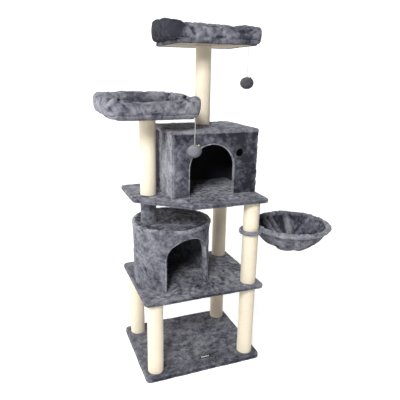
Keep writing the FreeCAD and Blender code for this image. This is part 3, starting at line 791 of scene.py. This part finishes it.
def round_rim():
    """A gathered ring where the wall's plush is drawn in over the roof."""
    _, _, radius, low_z, high_z = upright("round_condo_rim")
    tube_r = (high_z - low_z) / 2
    outward = outward_at(full_turn(300))
    wander = outward * 0.1
    path = outward * (radius - tube_r - 0.001 + 0.0016 * noise(wander, 0.022, 4))[:, None]
    path += (ROUND_X, ROUND_Y, high_z - tube_r)
    path[:, 2] += 0.0022 * noise(wander, 0.03, 3)
    gather = noise(outward * 0.195, 0.010, 7) * 0.10 + noise(outward * 0.195, 0.022, 8) * 0.12
    section = oval(tube_r * 1.02, tube_r * 0.98, 24)[None] * (1 + gather)[:, None, None]
    obj = sweep("round_condo_rim_gather", path, outward, section, closed=True)
    nap(obj, 71, 1.0)
    settle(obj, "tree", "round_condo_rim")


def round_roof():
    """The sunken roof, its plush pulled into radial wrinkles towards the rim."""
    _, _, radius, _, top = upright("round_condo_roof_plush")
    radius += 0.002
    rows, cols = 34, 220
    part = np.linspace(0.012, 1.0, rows)[:, None]
    outward = outward_at(full_turn(cols))[None] + 0 * part[..., None]
    flat = outward * (part * radius)[..., None]
    px, py = flat[..., 0], flat[..., 1]
    edge = part ** 3 + 0 * px
    spots = outward * 0.19
    spots[..., 2] = 0.02 * part
    spokes = noise(spots, 0.017, 9).reshape(rows, cols)
    wrinkles = folds(px, py, random_creases(12, 46, (-radius, radius), (-radius, radius), (0.015, 0.055),
                                            (0.005, 0.009), (0.0018, 0.0050)))
    lift = 0.0025 + 0.0035 * edge + 0.0032 * spokes * edge + wrinkles * (1 - 0.5 * edge)
    lift += 0.0022 * noise(flat, 0.05, 10).reshape(rows, cols)
    points = np.stack([ROUND_X + px, ROUND_Y + py, top + np.maximum(lift, 0.0008)], -1)
    faces = [tuple(f) for f in grid_faces(rows, cols, False, True)[:, ::-1]] + [tuple(range(cols))]
    obj = mesh_object("round_condo_roof_cover", points, faces)
    nap(merge(obj), 83, 1.2)
    thicken(obj, SKIN)
    # Darker all over: painted shade under the board above.
    settle(obj, "tree", "round_condo_roof_plush", lightness=-0.20)


def puckered(path, half_depth, seed):
    """Sections of a sewn hem along a path, with small puckers."""
    pucker = 1 + 0.10 * noise(path, 0.009, seed) + 0.06 * noise(path, 0.028, seed + 1)
    return oval(half_depth, HEM * 0.62, 16, 2.6)[None] * pucker[:, None, None]


def round_hem():
    """The padded hem round the round condo's doorway."""
    _, _, radius, low_z, _ = upright("round_condo_plush")
    depth = 0.0235
    door = subdivided(round_door(HEM / 2, low_z), 0.005, closed=False)
    mid = radius - depth / 2 + 0.003
    outward = outward_at(ROUND_DOOR_AZ + np.arcsin(door[:, 0] / mid))
    path = mid * outward + (ROUND_X, ROUND_Y, 0.0)
    path[:, 2] = door[:, 1]
    obj = sweep("round_condo_door_binding", path, outward, puckered(path, depth / 2, 91))
    nap(obj, 93, 0.5)
    settle(obj, "tree", "round_condo_door_hem")


def round_condo():
    round_wall("round_condo_cover", "round_condo_plush", 0.005, 101, 1.0)
    round_wall("round_condo_inner_cover", "round_condo_lining", 0.0, 113, 0.35)
    round_rim()
    round_roof()
    round_hem()


# ---- box condo --------------------------------------------------------------------------------------
def arch(grow, foot_z):
    """The doorway's outline as (x, height), from its left foot to its right foot."""
    r = BOX_DOOR_R + grow
    t = np.linspace(0, math.pi, 56)
    head = np.column_stack([BOX_DOOR_X - r * np.cos(t), BOX_DOOR_SPRING + r * np.sin(t)])
    jamb = np.linspace(foot_z, BOX_DOOR_SPRING, 22)[:-1]
    left, right = (np.column_stack([np.full(len(jamb), BOX_DOOR_X + side), jamb]) for side in (-r, r))
    return np.concatenate([left, head, right[::-1]])


def peep_circle(grow, count):
    """The peep hole's outline as (x, height)."""
    t = full_turn(count)
    r = PEEP_R + grow
    return np.column_stack([PEEP_X + r * np.cos(t), PEEP_Z + r * np.sin(t)])


def box_walls():
    """All four walls as one strip, cut round the arch and the peep hole, folded round the corners."""
    low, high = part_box("box_condo_plush")
    corners = rectangle(low.x, high.x, low.y, high.y)
    ring = rounded_outline(corners, BOX_CORNER, 0.0, 0.002, 9)
    back = np.argmin(np.abs(ring[:, 0] - (low.x + high.x) / 2) + 10 * np.abs(ring[:, 1] - high.y))
    ring = np.roll(ring, -back, 0)
    ring = np.concatenate([ring, ring[:1]])
    along = ring_lengths(ring, closed=False)
    left_front = np.argmin(np.abs(ring[:, 0] - low.x - BOX_CORNER) + 10 * np.abs(ring[:, 1] - low.y))
    offset = along[left_front] - ring[left_front, 0]
    door, peep = arch(HEM, low.z), peep_circle(HEM, 30)
    door[:, 0] += offset
    peep[:, 0] += offset
    loop = np.concatenate([[(0, low.z)], door, [(along[-1], low.z), (along[-1], high.z), (0, high.z)]])
    flat, triangles = filled([subdivided(loop), peep])
    s, z = flat[:, 0], flat[:, 1]
    x, y = np.interp(s, along, ring[:, 0]), np.interp(s, along, ring[:, 1])
    obj = mesh_object("box_condo_cover", np.column_stack([x, y, z]), triangles)
    creases = random_creases(131, 90, (0, along[-1]), (low.z, high.z), (0.012, 0.045), (0.004, 0.009),
                             (0.0010, 0.0034))
    lift = folds(s, z, creases, along[-1])
    write_points(obj, read_points(obj) + read_normals(obj) * lift[:, None])
    merge(obj)
    nap(obj, 137, 1.3)
    thicken(obj, WALL_SKIN)

    def lightness(points):
        """Painted light and shade: the front is darker, most of all at its right and under the eave.
        The left side is lighter, but darker again behind the perch post: the post's painted shadow."""
        front = 1 - ease(points[:, 1], low.y + 0.004, low.y + 0.014)
        left = (1 - ease(points[:, 0], low.x + 0.003, low.x + 0.020)) * (1 - front)
        # Painted shade under the eave.
        painted_eave_shade = ease(points[:, 2], high.z - 0.045, high.z - 0.012)
        rightward = 0.14 * ease(points[:, 0], low.x, low.x + 0.10) + 0.12 * ease(points[:, 0], 0.06, 0.24)
        # Painted shadow of the perch post on the left side's back part.
        painted_post_shadow = ease(points[:, 1], 0.070, 0.100)
        return front * (-0.02 - rightward - 0.10 * painted_eave_shade) + left * (0.24 - 0.70 * painted_post_shadow)

    settle(obj, "tree", "box_condo_plush", lightness=lightness)


def box_roof():
    """The box's roof cover, rounded over its eaves."""
    low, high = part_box("box_condo_roof_plush")
    top = high.z + 0.001
    profile = [(0.005, top - 0.017), (0.0, top - 0.0175), (-0.0020, top - 0.015), (-0.0026, top - 0.011),
               (-0.0012, top - 0.006), (0.0022, top - 0.0024), (0.0075, top - 0.0005), (0.0120, top)]
    corners = rectangle(low.x, high.x, low.y, high.y)
    creases = random_creases(151, 26, (low.x, high.x), (low.y, high.y), (0.02, 0.06), (0.006, 0.012),
                             (0.0010, 0.0028))
    obj = covered("box_condo_roof_cover", corners, 0.018, profile, 0.0035, creases)
    nap(obj, 157, 1.6)
    thicken(obj, SKIN)
    settle(obj, "tree", "box_condo_roof_plush")


def box_hems():
    """Padded hems round the arch and the peep hole."""
    low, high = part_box("box_condo_door_hem")
    y, half_depth = (low.y + high.y) / 2, (high.y - low.y) / 2
    for what, outline, seed, closed, lightness in (("door", arch(HEM / 2, low.z), 161, False, 0.0),
                                                   ("peep", peep_circle(HEM / 2, 40), 171, True, -0.30)):
        path = np.insert(outline, 1, y, axis=1)
        hem = sweep(f"box_condo_{what}_binding", path, np.tile((0.0, -1.0, 0.0), (len(path), 1)),
                    puckered(path, half_depth, seed), closed=closed)
        nap(hem, seed + 2, 0.5)
        settle(hem, "tree", f"box_condo_{what}_hem", lightness=lightness)


def box_condo():
    box_walls()
    box_roof()
    box_hems()


# ---- perches ----------------------------------------------------------------------------------------
def swell(obj, pinned, pressure, frames, growth, cap):
    """Inflates a padded piece by cloth simulation. Its pinned points stay, and no point moves further
    than the cap."""
    scene = bpy.context.scene
    start = read_points(obj)
    group = obj.vertex_groups.new(name="pinned")
    group.add([int(i) for i in np.flatnonzero(pinned)], 1.0, "REPLACE")
    cloth = obj.modifiers.new("cloth", "CLOTH")
    settings = cloth.settings
    settings.quality = 6
    settings.mass = 0.25
    settings.tension_stiffness = settings.compression_stiffness = 18.0
    settings.shear_stiffness = 8.0
    settings.bending_stiffness = 0.8
    settings.use_pressure = True
    settings.uniform_pressure_force = pressure
    settings.shrink_min = -growth
    settings.vertex_group_mass = "pinned"
    settings.effector_weights.gravity = 0.0
    cloth.point_cache.frame_start, cloth.point_cache.frame_end = 1, frames
    for number in range(1, frames + 1):
        scene.frame_set(number)
    evaluated = obj.evaluated_get(bpy.context.evaluated_depsgraph_get())
    moved = np.zeros(len(start) * 3)
    evaluated.data.vertices.foreach_get("co", moved)
    move = moved.reshape(-1, 3) - start
    obj.modifiers.remove(cloth)
    obj.vertex_groups.remove(group)
    scene.frame_set(1)
    length = np.linalg.norm(move, axis=1, keepdims=True)
    write_points(obj, start + move * np.minimum(1.0, cap / np.maximum(length, 1e-9)))


def bolster(name, seed, corner_puff, dips, tucks):
    """A stuffed roll round a perch, sewn at its corners: lower in front, sagging past the board's edge.
    A dip is its place as parts of the perch's width and depth, its height and its reach. A tuck is its
    place and a crease's direction, half length, half width and depth."""
    low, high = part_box(name + "_bolster")
    edge_low, edge_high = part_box(name + "_board")
    half, bottom = BOLSTER_THICK / 2, low.z
    corners = rectangle(low.x, high.x, low.y, high.y)
    ring = rounded_outline(corners, BOLSTER_CORNER, half, 0.0055, 13)
    lengths = ring_lengths(ring)
    s, around = lengths[:-1], lengths[-1]
    tangent = tangents(ring, True)
    outward = np.column_stack([tangent[:, 1], -tangent[:, 0]])
    spots = np.column_stack([ring, 0 * s])

    def from_place(px, py):
        place = np.array([low.x + px * (high.x - low.x), low.y + py * (high.y - low.y)])
        return np.linalg.norm(ring - place, axis=1)

    depth_part = np.clip((ring[:, 1] - low.y - half) / (high.y - low.y - BOLSTER_THICK), 0, 1)
    top = high.z - FRONT_DROP[name] * (1 - depth_part ** 0.6)
    top = top + 0.0040 * noise(spots, 0.07, seed) + 0.0020 * noise(spots, 0.03, seed + 1)
    for place, height, reach in dips:
        top = top + height * np.exp(-(from_place(*place) / reach) ** 2)

    section = 46
    t = full_turn(section)
    across, up = oval(half, 0.5, section, 3.0).T
    up = up + 0.5
    at_corner = np.exp(-((np.abs(outward).min(1) - 0.7) / 0.25) ** 2)
    fat = 1 + 0.035 * noise(spots, 0.055, seed + 2) + corner_puff * at_corner
    in_front = np.clip(-outward[:, 1], 0, 1) ** 0.5
    outer = ease(across, half * 0.30, half * 0.75)
    points = np.zeros((len(ring), section, 3))
    points[..., :2] = ring[:, None] + outward[:, None] * (across * fat[:, None])[..., None]
    hang = SAG[name] * in_front[:, None] * outer * (1 - up) ** 1.2
    points[..., 2] = bottom + (top - bottom)[:, None] * up - hang

    q = t * (half + (high.z - bottom) / 2) / 2
    q_top = float(q[section // 4])
    rng = np.random.default_rng(seed)
    creases = []
    for corner in corners:
        centre = s[np.argmin(np.linalg.norm(ring - np.array(corner), axis=1))]
        creases.append((centre, q_top, math.pi / 2, 0.055, 0.0055, 0.0075))
        for _ in range(8):
            creases.append((centre + rng.normal(0, 0.032), q_top + rng.uniform(-0.055, 0.055),
                            math.pi / 2 + rng.normal(0, 0.55), rng.uniform(0.018, 0.040),
                            rng.uniform(0.0045, 0.0075), rng.uniform(0.0025, 0.0060)))
    for place, *crease in tucks:
        creases.append((s[np.argmin(from_place(*place))], q_top - 0.030, *crease))
    for _ in range(26):
        creases.append((rng.uniform(0, around), q_top + rng.uniform(-0.06, 0.06), rng.normal(0, 0.6),
                        rng.uniform(0.020, 0.055), rng.uniform(0.005, 0.009), rng.uniform(0.0015, 0.0042)))
    lift = folds(s[:, None] + 0 * t, q + 0 * s[:, None], creases, around)
    lift = np.clip(lift, -0.013, 0.0030) * np.clip(up * 3, 0, 1)

    obj = mesh_object(name + "_roll", points, grid_faces(len(ring), section, True, True)[:, ::-1])
    start = read_points(obj)
    slack = start - ROLL_SLACK * read_normals(obj)
    slack[:, 2] = np.maximum(slack[:, 2], start[:, 2])
    pinned = slack[:, 2] < bottom + 0.006
    write_points(obj, np.where(pinned[:, None], start, slack))
    swell(obj, pinned, pressure=2.0, frames=12, growth=0.05, cap=0.0060)
    write_points(obj, read_points(obj) + read_normals(obj) * lift.reshape(-1, 1))
    nap(obj, seed + 5, 1.4)
    points = read_points(obj)
    over = np.all((points[:, :2] > edge_low[:2]) & (points[:, :2] < edge_high[:2]), axis=1)
    points[over, 2] = np.maximum(points[over, 2], bottom)
    write_points(obj, points)
    settle(obj, "tree", name + "_bolster", lightness=ROLL_LIGHT[name])


def down_inside(points, name):
    """1 low on the roll's inner faces, where they go down to the cushion, and 0 elsewhere: where painted
    shade goes."""
    low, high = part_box(name + "_bolster")
    x_in = np.minimum(points[:, 0] - low.x, high.x - points[:, 0])
    y_in = np.minimum(points[:, 1] - low.y, high.y - points[:, 1])
    inward = ease(np.minimum(x_in, y_in), BOLSTER_THICK * 0.50, BOLSTER_THICK * 0.72)
    return inward * ease(high.z - points[:, 2], 0.014, 0.040)


def left_roll_light(points):
    """Painted shade where the roll goes down into the hollow."""
    return 0.06 - 0.32 * down_inside(points, "left_perch")


def top_roll_light(points):
    """Darker all over, much darker on the left roll, and painted shade low in the hollow."""
    low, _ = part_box("top_perch_bolster")
    from_left = points[:, 0] - low.x - 0.45 * (points[:, 2] - low.z)
    on_left = 1 - ease(from_left, 0.010, 0.070)
    return -0.15 - 0.70 * on_left - 0.28 * down_inside(points, "top_perch")


ROLL_LIGHT = {"left_perch": left_roll_light, "top_perch": top_roll_light}


def cushion(name, seed):
    """A thin pad inside the roll: crowned, its rim pulled in by a seam, quilted dimples in its top."""
    low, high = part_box(name + "_cushion")
    corners = rectangle(low.x, high.x, low.y, high.y)
    waist = low.z + (high.z - low.z) * 0.45
    profile = [(0.020, low.z), (0.008, low.z + 0.001), (0.0015, low.z + 0.007), (0.0035, waist),
               (0.0015, waist + 0.008), (0.007, waist + 0.014), (0.016, high.z - 0.005),
               (0.026, high.z - 0.002)]
    creases = random_creases(seed, 14, (low.x + 0.04, high.x - 0.04), (low.y + 0.04, high.y - 0.04),
                             (0.02, 0.05), (0.006, 0.010), (0.001, 0.003))
    obj = covered(name + "_pad", corners, 0.027, profile, 0.004, creases)
    fill_holes(obj)
    nap(obj, seed + 1, 1.2, floor=low.z)
    # Darker: painted shade at the bottom of the hollow.
    settle(obj, "tree", name + "_cushion", lightness=-0.12)


def perches():
    bolster("left_perch", 201, 0.10,
            [((0.06, 0.10), 0.016, 0.060), ((0.93, 0.06), 0.020, 0.055), ((0.05, 0.55), 0.004, 0.10),
             ((0.50, 0.00), -0.006, 0.120)],
            [((0.13, 0.02), 1.25, 0.050, 0.0075, 0.0080), ((0.86, 0.02), 1.9, 0.045, 0.0070, 0.0075),
             ((0.30, 0.98), 0.2, 0.070, 0.0070, 0.0060), ((0.65, 0.98), -0.15, 0.060, 0.0070, 0.0060)])
    bolster("top_perch", 223, 0.06,
            [((0.00, 0.02), 0.028, 0.075), ((0.02, 0.50), 0.016, 0.090), ((0.02, 0.95), 0.010, 0.070),
             ((0.78, 0.03), -0.012, 0.070), ((0.97, 0.08), 0.006, 0.05)],
            [((0.19, 0.02), 1.95, 0.055, 0.0085, 0.0120), ((0.90, 0.02), 1.2, 0.045, 0.0070, 0.0070),
             ((0.45, 0.02), 0.15, 0.060, 0.0060, 0.0045)])
    cushion("left_perch", 241)
    cushion("top_perch", 251)


# ---- basket -----------------------------------------------------------------------------------------
def basket_place():
    """The middle of the post loop and of the ring."""
    x, y, _, low_z, high_z = upright("basket_loop_sleeve")
    low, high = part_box("basket_cloth")
    z = (low_z + high_z) / 2
    centre = np.array([high.x - BASKET_RING_R - BASKET_RIM_R, (low.y + high.y) / 2, z])
    return np.array([x, y, z]), centre


def pleats(angle, part):
    """How far the cloth's pleats stand in from its bowl, at an angle and a part of the way up to the rim.
    They're deep where the photograph shows the bowl's inner wall, and shallow across from it."""
    rng = np.random.default_rng(35)
    push = 0.0 * angle
    strength = ease(part, 0.16, 0.55) * (1 - 0.45 * ease(part, 0.80, 1.0))
    radius = np.maximum(BASKET_RING_R * part ** BOWL_SPREAD, 0.05)
    for k in range(PLEATS):
        middle = (k + rng.uniform(-0.24, 0.24)) * 2 * math.pi / PLEATS
        from_back = 0.5 + 0.5 * math.cos(middle - PLEATS_DEEPEST)
        deep = rng.uniform(0.022, 0.034) * (0.16 + 0.84 * from_back)
        width = rng.uniform(0.013, 0.019)
        drift = rng.uniform(-0.65, 0.65)
        off = (angle - middle - drift * (1 - part) ** 1.2 + math.pi) % (2 * math.pi) - math.pi
        off = off * radius
        ridge = np.exp(-(off / width) ** 2) - 0.45 * np.exp(-((off - 1.6 * width) / (0.55 * width)) ** 2)
        push = push + deep * ridge * strength
    return push


def basket_bowl(centre):
    """One round sheet drawn up on the ring: broad pleats run from the rim and die out on the floor."""
    rows, cols = 66, 400
    part = np.linspace(0.0, 1.0, rows)[:, None]
    angle = full_turn(cols)[None] + 0 * part
    outward = outward_at(angle)
    push = pleats(angle, part)
    spots = outward * 0.18 * part[..., None]
    push = push + 0.0040 * noise(spots, 0.050, 31).reshape(rows, cols) * (1 - part ** 4)
    push = push + 0.0040 * noise(outward * 0.18, 0.016, 33).reshape(rows, cols) * part ** 4
    push = np.clip(push, -0.010, 0.045)
    slope = 0.75
    r = (BASKET_RING_R - 0.001) * part ** BOWL_SPREAD - push * slope
    points = centre + outward * r[..., None]
    points[..., 2] += push * (1 - slope) * 1.6 - (BASKET_DEPTH - 0.008) * (1 - part ** BOWL_POWER)
    obj = mesh_object("basket_bowl", points, grid_faces(rows, cols, False, True)[:, ::-1])
    merge(obj)
    nap(obj, 261, 0.8)
    thicken(obj, 0.0035)
    obj.modifiers["thickness"].offset = 0.0
    return obj


def basket_neck(post, centre):
    """The cloth drawn together where the post loop meets the ring."""
    along = unit(centre - post)
    side = np.array([-along[1], along[0], 0.0])
    waist = LOOP_R + 0.004
    steps = np.linspace(-0.008, 0.016, 13)
    path = post + along * (waist + steps)[:, None]
    half = 0.015 + 0.010 * (steps / 0.016) ** 2
    section = np.stack([oval(a, 0.0105, 20) for a in half])
    return sweep("basket_neck", path, np.tile(side, (len(path), 1)), section)


def scrunched(name, centre, ring_r, tube_r, seed, rough, squash=1.0):
    """A sleeve of plush pushed together along a round wire."""
    outward = outward_at(full_turn(round(2 * math.pi * ring_r / 0.0036)))
    spots = outward * ring_r
    path = outward * (ring_r + 0.0012 * noise(spots, 0.03, seed))[:, None] + centre
    path[:, 2] += 0.0015 * noise(spots, 0.035, seed + 1)
    t = full_turn(22)
    skew = (spots[:, None] + np.stack([0 * t, 0 * t, t * 0.004], -1)).reshape(-1, 3)
    gather = noise(skew, 0.0085, seed + 2).reshape(-1, len(t))
    broad = noise(skew, 0.026, seed + 3).reshape(-1, len(t))
    section = oval(tube_r, tube_r * squash, len(t)) * (1 + rough * (0.55 * gather + 0.45 * broad))[..., None]
    return sweep(name, path, outward, section, closed=True)


def basket():
    post, centre = basket_place()
    bowl = basket_bowl(centre)
    rim = scrunched("basket_rim", centre, BASKET_RING_R, BASKET_RIM_R, 271, 0.34)
    nap(rim, 281, 0.9)
    sleeve = scrunched("basket_sleeve", post, LOOP_R + 0.0012, SLEEVE_R - 0.0018, 291, 0.08, squash=1.45)
    nap(sleeve, 297, 0.7)
    neck = nap(basket_neck(post, centre), 299, 1.0)

    def lightness(points):
        """Painted shade on the back of the inner wall and between the pleats,
        painted highlight on the pleats' ridges.
        """
        x, y = points[:, 0] - centre[0], points[:, 1] - centre[1]
        part = np.clip(1 + (points[:, 2] - centre[2]) / BASKET_DEPTH, 0.001, 1.0) ** (1 / BOWL_POWER)
        at_back = ease(y - 0.35 * x, -0.06, 0.10)
        ridge = np.tanh(pleats(np.arctan2(y, x), part) / 0.010 - 0.5)
        return 0.04 - 0.12 * at_back + (0.08 + 0.20 * at_back) * ridge

    settle(bowl, "basket", "basket_cloth", lightness=lightness)
    settle(rim, "basket", "basket_cloth", lightness=0.05)
    settle(sleeve, "basket", "basket_loop_sleeve", lightness=-0.10)
    settle(neck, "basket", slot="basket_plush", lightness=-0.05)


# ---- hanging toys -----------------------------------------------------------------------------------
def pompom(name, node, seed):
    """A clipped yarn ball: an uneven core under thousands of short tapering fibres."""
    low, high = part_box(node)
    centre = (np.array(low) + np.array(high)) / 2
    half = (np.array(high) - np.array(low)) / 2
    ball = bmesh.new()
    bmesh.ops.create_icosphere(ball, subdivisions=4, radius=1.0)
    core = np.array([tuple(v.co) for v in ball.verts])
    core_faces = [tuple(v.index for v in f.verts) for f in ball.faces]
    ball.free()
    lumps = 0.90 + 0.035 * noise(core, 0.35, seed) + 0.02 * noise(core, 0.12, seed + 1)
    points = [centre + core * half * lumps[:, None]]
    rng = np.random.default_rng(seed)
    count = 2600
    k = np.arange(count) + 0.5
    polar, turn = np.arccos(1 - 2 * k / count), math.pi * (1 + 5 ** 0.5) * k
    root = np.column_stack([np.cos(turn) * np.sin(polar), np.sin(turn) * np.sin(polar), np.cos(polar)])
    lean = unit(root + rng.normal(0, 0.16, (count, 3)))
    length = rng.uniform(0.10, 0.16, count)
    side = unit(np.cross(root, np.roll(root, 1, 1) + 0.3))
    other = np.cross(root, side)
    foot = [root * 0.88 + 0.030 * (math.cos(a) * side + math.sin(a) * other) for a in (0.0, 2.1, 4.2)]
    tip = root * 0.88 + lean * length[:, None]
    points.append(centre + np.stack(foot + [tip], 1).reshape(-1, 3) * half)
    first = len(core) + np.arange(count)[:, None] * 4
    sides = [first + np.array(f) for f in ((0, 1, 3), (1, 2, 3), (2, 0, 3))]
    faces = core_faces + [tuple(f) for group in sides for f in group]
    return mesh_object(name, np.concatenate(points), faces)


def jingle_bell(name, node):
    """A tin bell: two pressed halves with a raised seam, and a slot in the lower one."""
    low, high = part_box(node)
    rows, cols = 25, 32
    polar = np.linspace(0.02, math.pi - 0.02, rows)[:, None]
    angle = full_turn(cols)[None]
    seam = 1 + 0.07 * np.exp(-((polar - math.pi / 2) / 0.07) ** 2)
    slot = np.exp(-((np.sin(angle) * np.sin(polar)) / 0.16) ** 2) * np.clip((polar - 1.8) / 0.2, 0, 1)
    radius = BELL_R * (seam - 0.22 * slot) / 1.07
    points = outward_at(angle) * (radius * np.sin(polar))[..., None]
    points[..., 2] = radius * np.cos(polar)
    points += (high.x - BELL_R, (low.y + high.y) / 2, high.z - BELL_R)
    return merge(mesh_object(name, points, capped_faces(rows, cols)), outward=True)


def overhand_knot(name, centre, size):
    """A small knot: one cord's thickness going round on itself."""
    t = full_turn(60)
    path = np.stack([np.sin(t) + 2 * np.sin(2 * t), np.cos(t) - 2 * np.cos(2 * t), -np.sin(3 * t)], -1)
    path = path * (size * 0.30) + centre
    side = unit(path - centre)
    return sweep(name, path, side, oval(STRING_D * 0.36, STRING_D * 0.36, 10), closed=True)


def string(name, line_body, ball_body):
    """A toy's cord with its knots, and the ball and bell it holds."""
    x, y, _, _, top = upright(name + "_string")
    ball_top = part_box(name + "_ball")[1].z
    start, end = Vector((x, y, top - 0.001)), Vector((x, y, ball_top + 0.0015))
    curve = bpy.data.curves.new(name + "_cord", "CURVE")
    curve.dimensions = "3D"
    curve.bevel_depth = STRING_D / 2
    curve.bevel_resolution = 3
    curve.resolution_u = 12
    curve.use_fill_caps = True
    spline = curve.splines.new("NURBS")
    route = [start, start.lerp(end, 0.35) + Vector((0.0006, 0.0, 0.0)),
             start.lerp(end, 0.70) - Vector((0.0005, 0.0, 0.0)), end]
    spline.points.add(len(route) - 1)
    for point, place in zip(spline.points, route):
        point.co = (*place, 1.0)
    spline.order_u = 3
    spline.use_endpoint_u = True
    cord = bpy.data.objects.new(name + "_cord", curve)
    bpy.context.scene.collection.objects.link(cord)
    settle(cord, line_body, name + "_string")
    for part, z in (("upper", top - 0.0022), ("lower", end.z + 0.0012)):
        knot = overhand_knot(name + "_" + part + "_knot", np.array([x, y, z]), 0.0024)
        settle(knot, line_body, slot="string")
    ball = settle(pompom(name + "_pompom", name + "_ball", 301), ball_body, name + "_ball",
                  look="dark_pompom" if name == "right_toy" else None)
    bell = settle(jingle_bell(name + "_jingle", name + "_bell"), ball_body, name + "_bell")


def tabs():
    """A stitched fabric tab under each perch, with the string's end held in it."""
    points = read_points(frame["nodes"]["toy_anchor_tabs"])
    for name in ("left_toy", "right_toy"):
        x, y = upright(name + "_string")[:2]
        mine = points[np.hypot(points[:, 0] - x, points[:, 1] - y) < 0.03]
        a, b = mine.min(0), mine.max(0)
        profile = [(0.0002, a[2] + 0.0002), (0.0, a[2] + 0.0006), (0.0002, b[2] - 0.0003), (0.0012, b[2])]
        tab = covered(name + "_tab", rectangle(a[0], b[0], a[1], b[1]), 0.0022, profile)
        fill_holes(tab)
        settle(tab, "tree", "toy_anchor_tabs")


def toys():
    tabs()
    for name in ("left_toy", "right_toy"):
        string(name, name + "_line", name)


# ---- label ------------------------------------------------------------------------------------------
def label():
    """The woven tag sewn to the base."""
    low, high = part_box("base_label")
    corners = rectangle(low.x, high.x, low.y, high.y)
    profile = [(0.0, low.z - 0.0015), (0.0, high.z - 0.0004), (0.0004, high.z + 0.0004),
               (0.0016, high.z + 0.0007), (0.0022, high.z + 0.0003)]
    obj = covered("base_tag", corners, 0.002, profile)
    thicken(obj, 0.0008)
    settle(obj, "tree", "base_label")


# ---- carried-over CAD nodes -------------------------------------------------------------------------
def finish_nodes():
    """Procedural materials for the CAD nodes that stay in view."""
    for node, obj in frame["nodes"].items():
        for slot in obj.material_slots:
            slot.material = MATERIALS[SLOT_OF[node]]


# ---- studio -----------------------------------------------------------------------------------------
SWEEP_FRONT, SWEEP_BEND, SWEEP_RADIUS, SWEEP_TOP, SWEEP_HALF = -4.0, 2.2, 1.5, 6.0, 7.0
SWEEP_GLOW, WORLD_LIGHT = 0.64, 0.30
LAMP_AIM = Vector((0.0, 0.0, 0.85))
LAMPS = (("key", (-2.05, -2.75, 3.3), 1.2, 235.0), ("side", (-3.2, 0.3, 1.9), 1.6, 55.0))

CAMERA_PLACE = (-0.7242, -1.8664, 1.4019)
CAMERA_YAW, CAMERA_PITCH, CAMERA_ROLL = 20.408, 16.364, 0.626       # degrees: right, down, tilt
CAMERA_SENSOR, CAMERA_LENS, CAMERA_SHIFT_X = 36.0, 38.23, 0.0363


def studio():
    """A white sweep, a wide soft key from the camera's left and a white world."""
    bend = np.linspace(0, math.pi / 2, 12)[1:]
    floor_y = np.linspace(SWEEP_FRONT, SWEEP_BEND, 14)
    wall_y = SWEEP_BEND + SWEEP_RADIUS
    y = np.concatenate([floor_y, SWEEP_BEND + SWEEP_RADIUS * np.sin(bend), [wall_y]])[:, None]
    z = np.concatenate([0 * floor_y, SWEEP_RADIUS - SWEEP_RADIUS * np.cos(bend), [SWEEP_TOP]])[:, None]
    x = np.linspace(-SWEEP_HALF, SWEEP_HALF, 15)[None]
    backdrop = grid_object("studio_sweep", np.stack([x + 0 * y, y + 0 * x, z + 0 * x], -1))
    s = Shader("studio_white", Roughness=0.95, Specular_IOR_Level=0.05, Emission_Color=(1.0, 1.0, 1.0, 1.0),
               Emission_Strength=SWEEP_GLOW)
    white = s.ramp(s.noise(3.0), (0.4, (0.60, 0.60, 0.60)), (0.6, (0.62, 0.62, 0.62)))
    backdrop.data.materials.append(s.finish(white))

    world = bpy.data.worlds.new("studio_world")
    bpy.context.scene.world = world
    world.use_nodes = True
    background = world.node_tree.nodes["Background"].inputs
    background["Color"].default_value = (1.0, 1.0, 1.0, 1.0)
    background["Strength"].default_value = WORLD_LIGHT

    for name, place, size, power in LAMPS:
        lamp = bpy.data.lights.new(name, "AREA")
        lamp.size = size
        lamp.energy = power
        light = bpy.data.objects.new(name, lamp)
        light.location = place
        light.rotation_euler = (LAMP_AIM - Vector(place)).to_track_quat("-Z", "Y").to_euler()
        bpy.context.scene.collection.objects.link(light)
    bpy.context.scene.view_settings.view_transform = "Standard"


def camera():
    """A camera where the photograph was taken from."""
    yaw, pitch, roll = (math.radians(a) for a in (CAMERA_YAW, CAMERA_PITCH, CAMERA_ROLL))
    forward = Vector((math.sin(yaw) * math.cos(pitch), math.cos(yaw) * math.cos(pitch), -math.sin(pitch)))
    level = Vector((math.cos(yaw), -math.sin(yaw), 0.0))
    upright_way = level.cross(forward)
    right = level * math.cos(roll) + upright_way * math.sin(roll)
    up = upright_way * math.cos(roll) - level * math.sin(roll)
    data = bpy.data.cameras.new("camera")
    data.sensor_width = CAMERA_SENSOR
    data.lens = CAMERA_LENS
    data.shift_x = CAMERA_SHIFT_X
    data.clip_end = 60.0
    obj = bpy.data.objects.new("camera", data)
    obj.matrix_world = Matrix.Translation(CAMERA_PLACE) @ Matrix((right, up, -forward)).transposed().to_4x4()
    bpy.context.scene.collection.objects.link(obj)
    bpy.context.scene.camera = obj


camera()
studio()
toys()
boards()
posts()
round_condo()
box_condo()
perches()
basket()
label()
finish_nodes()
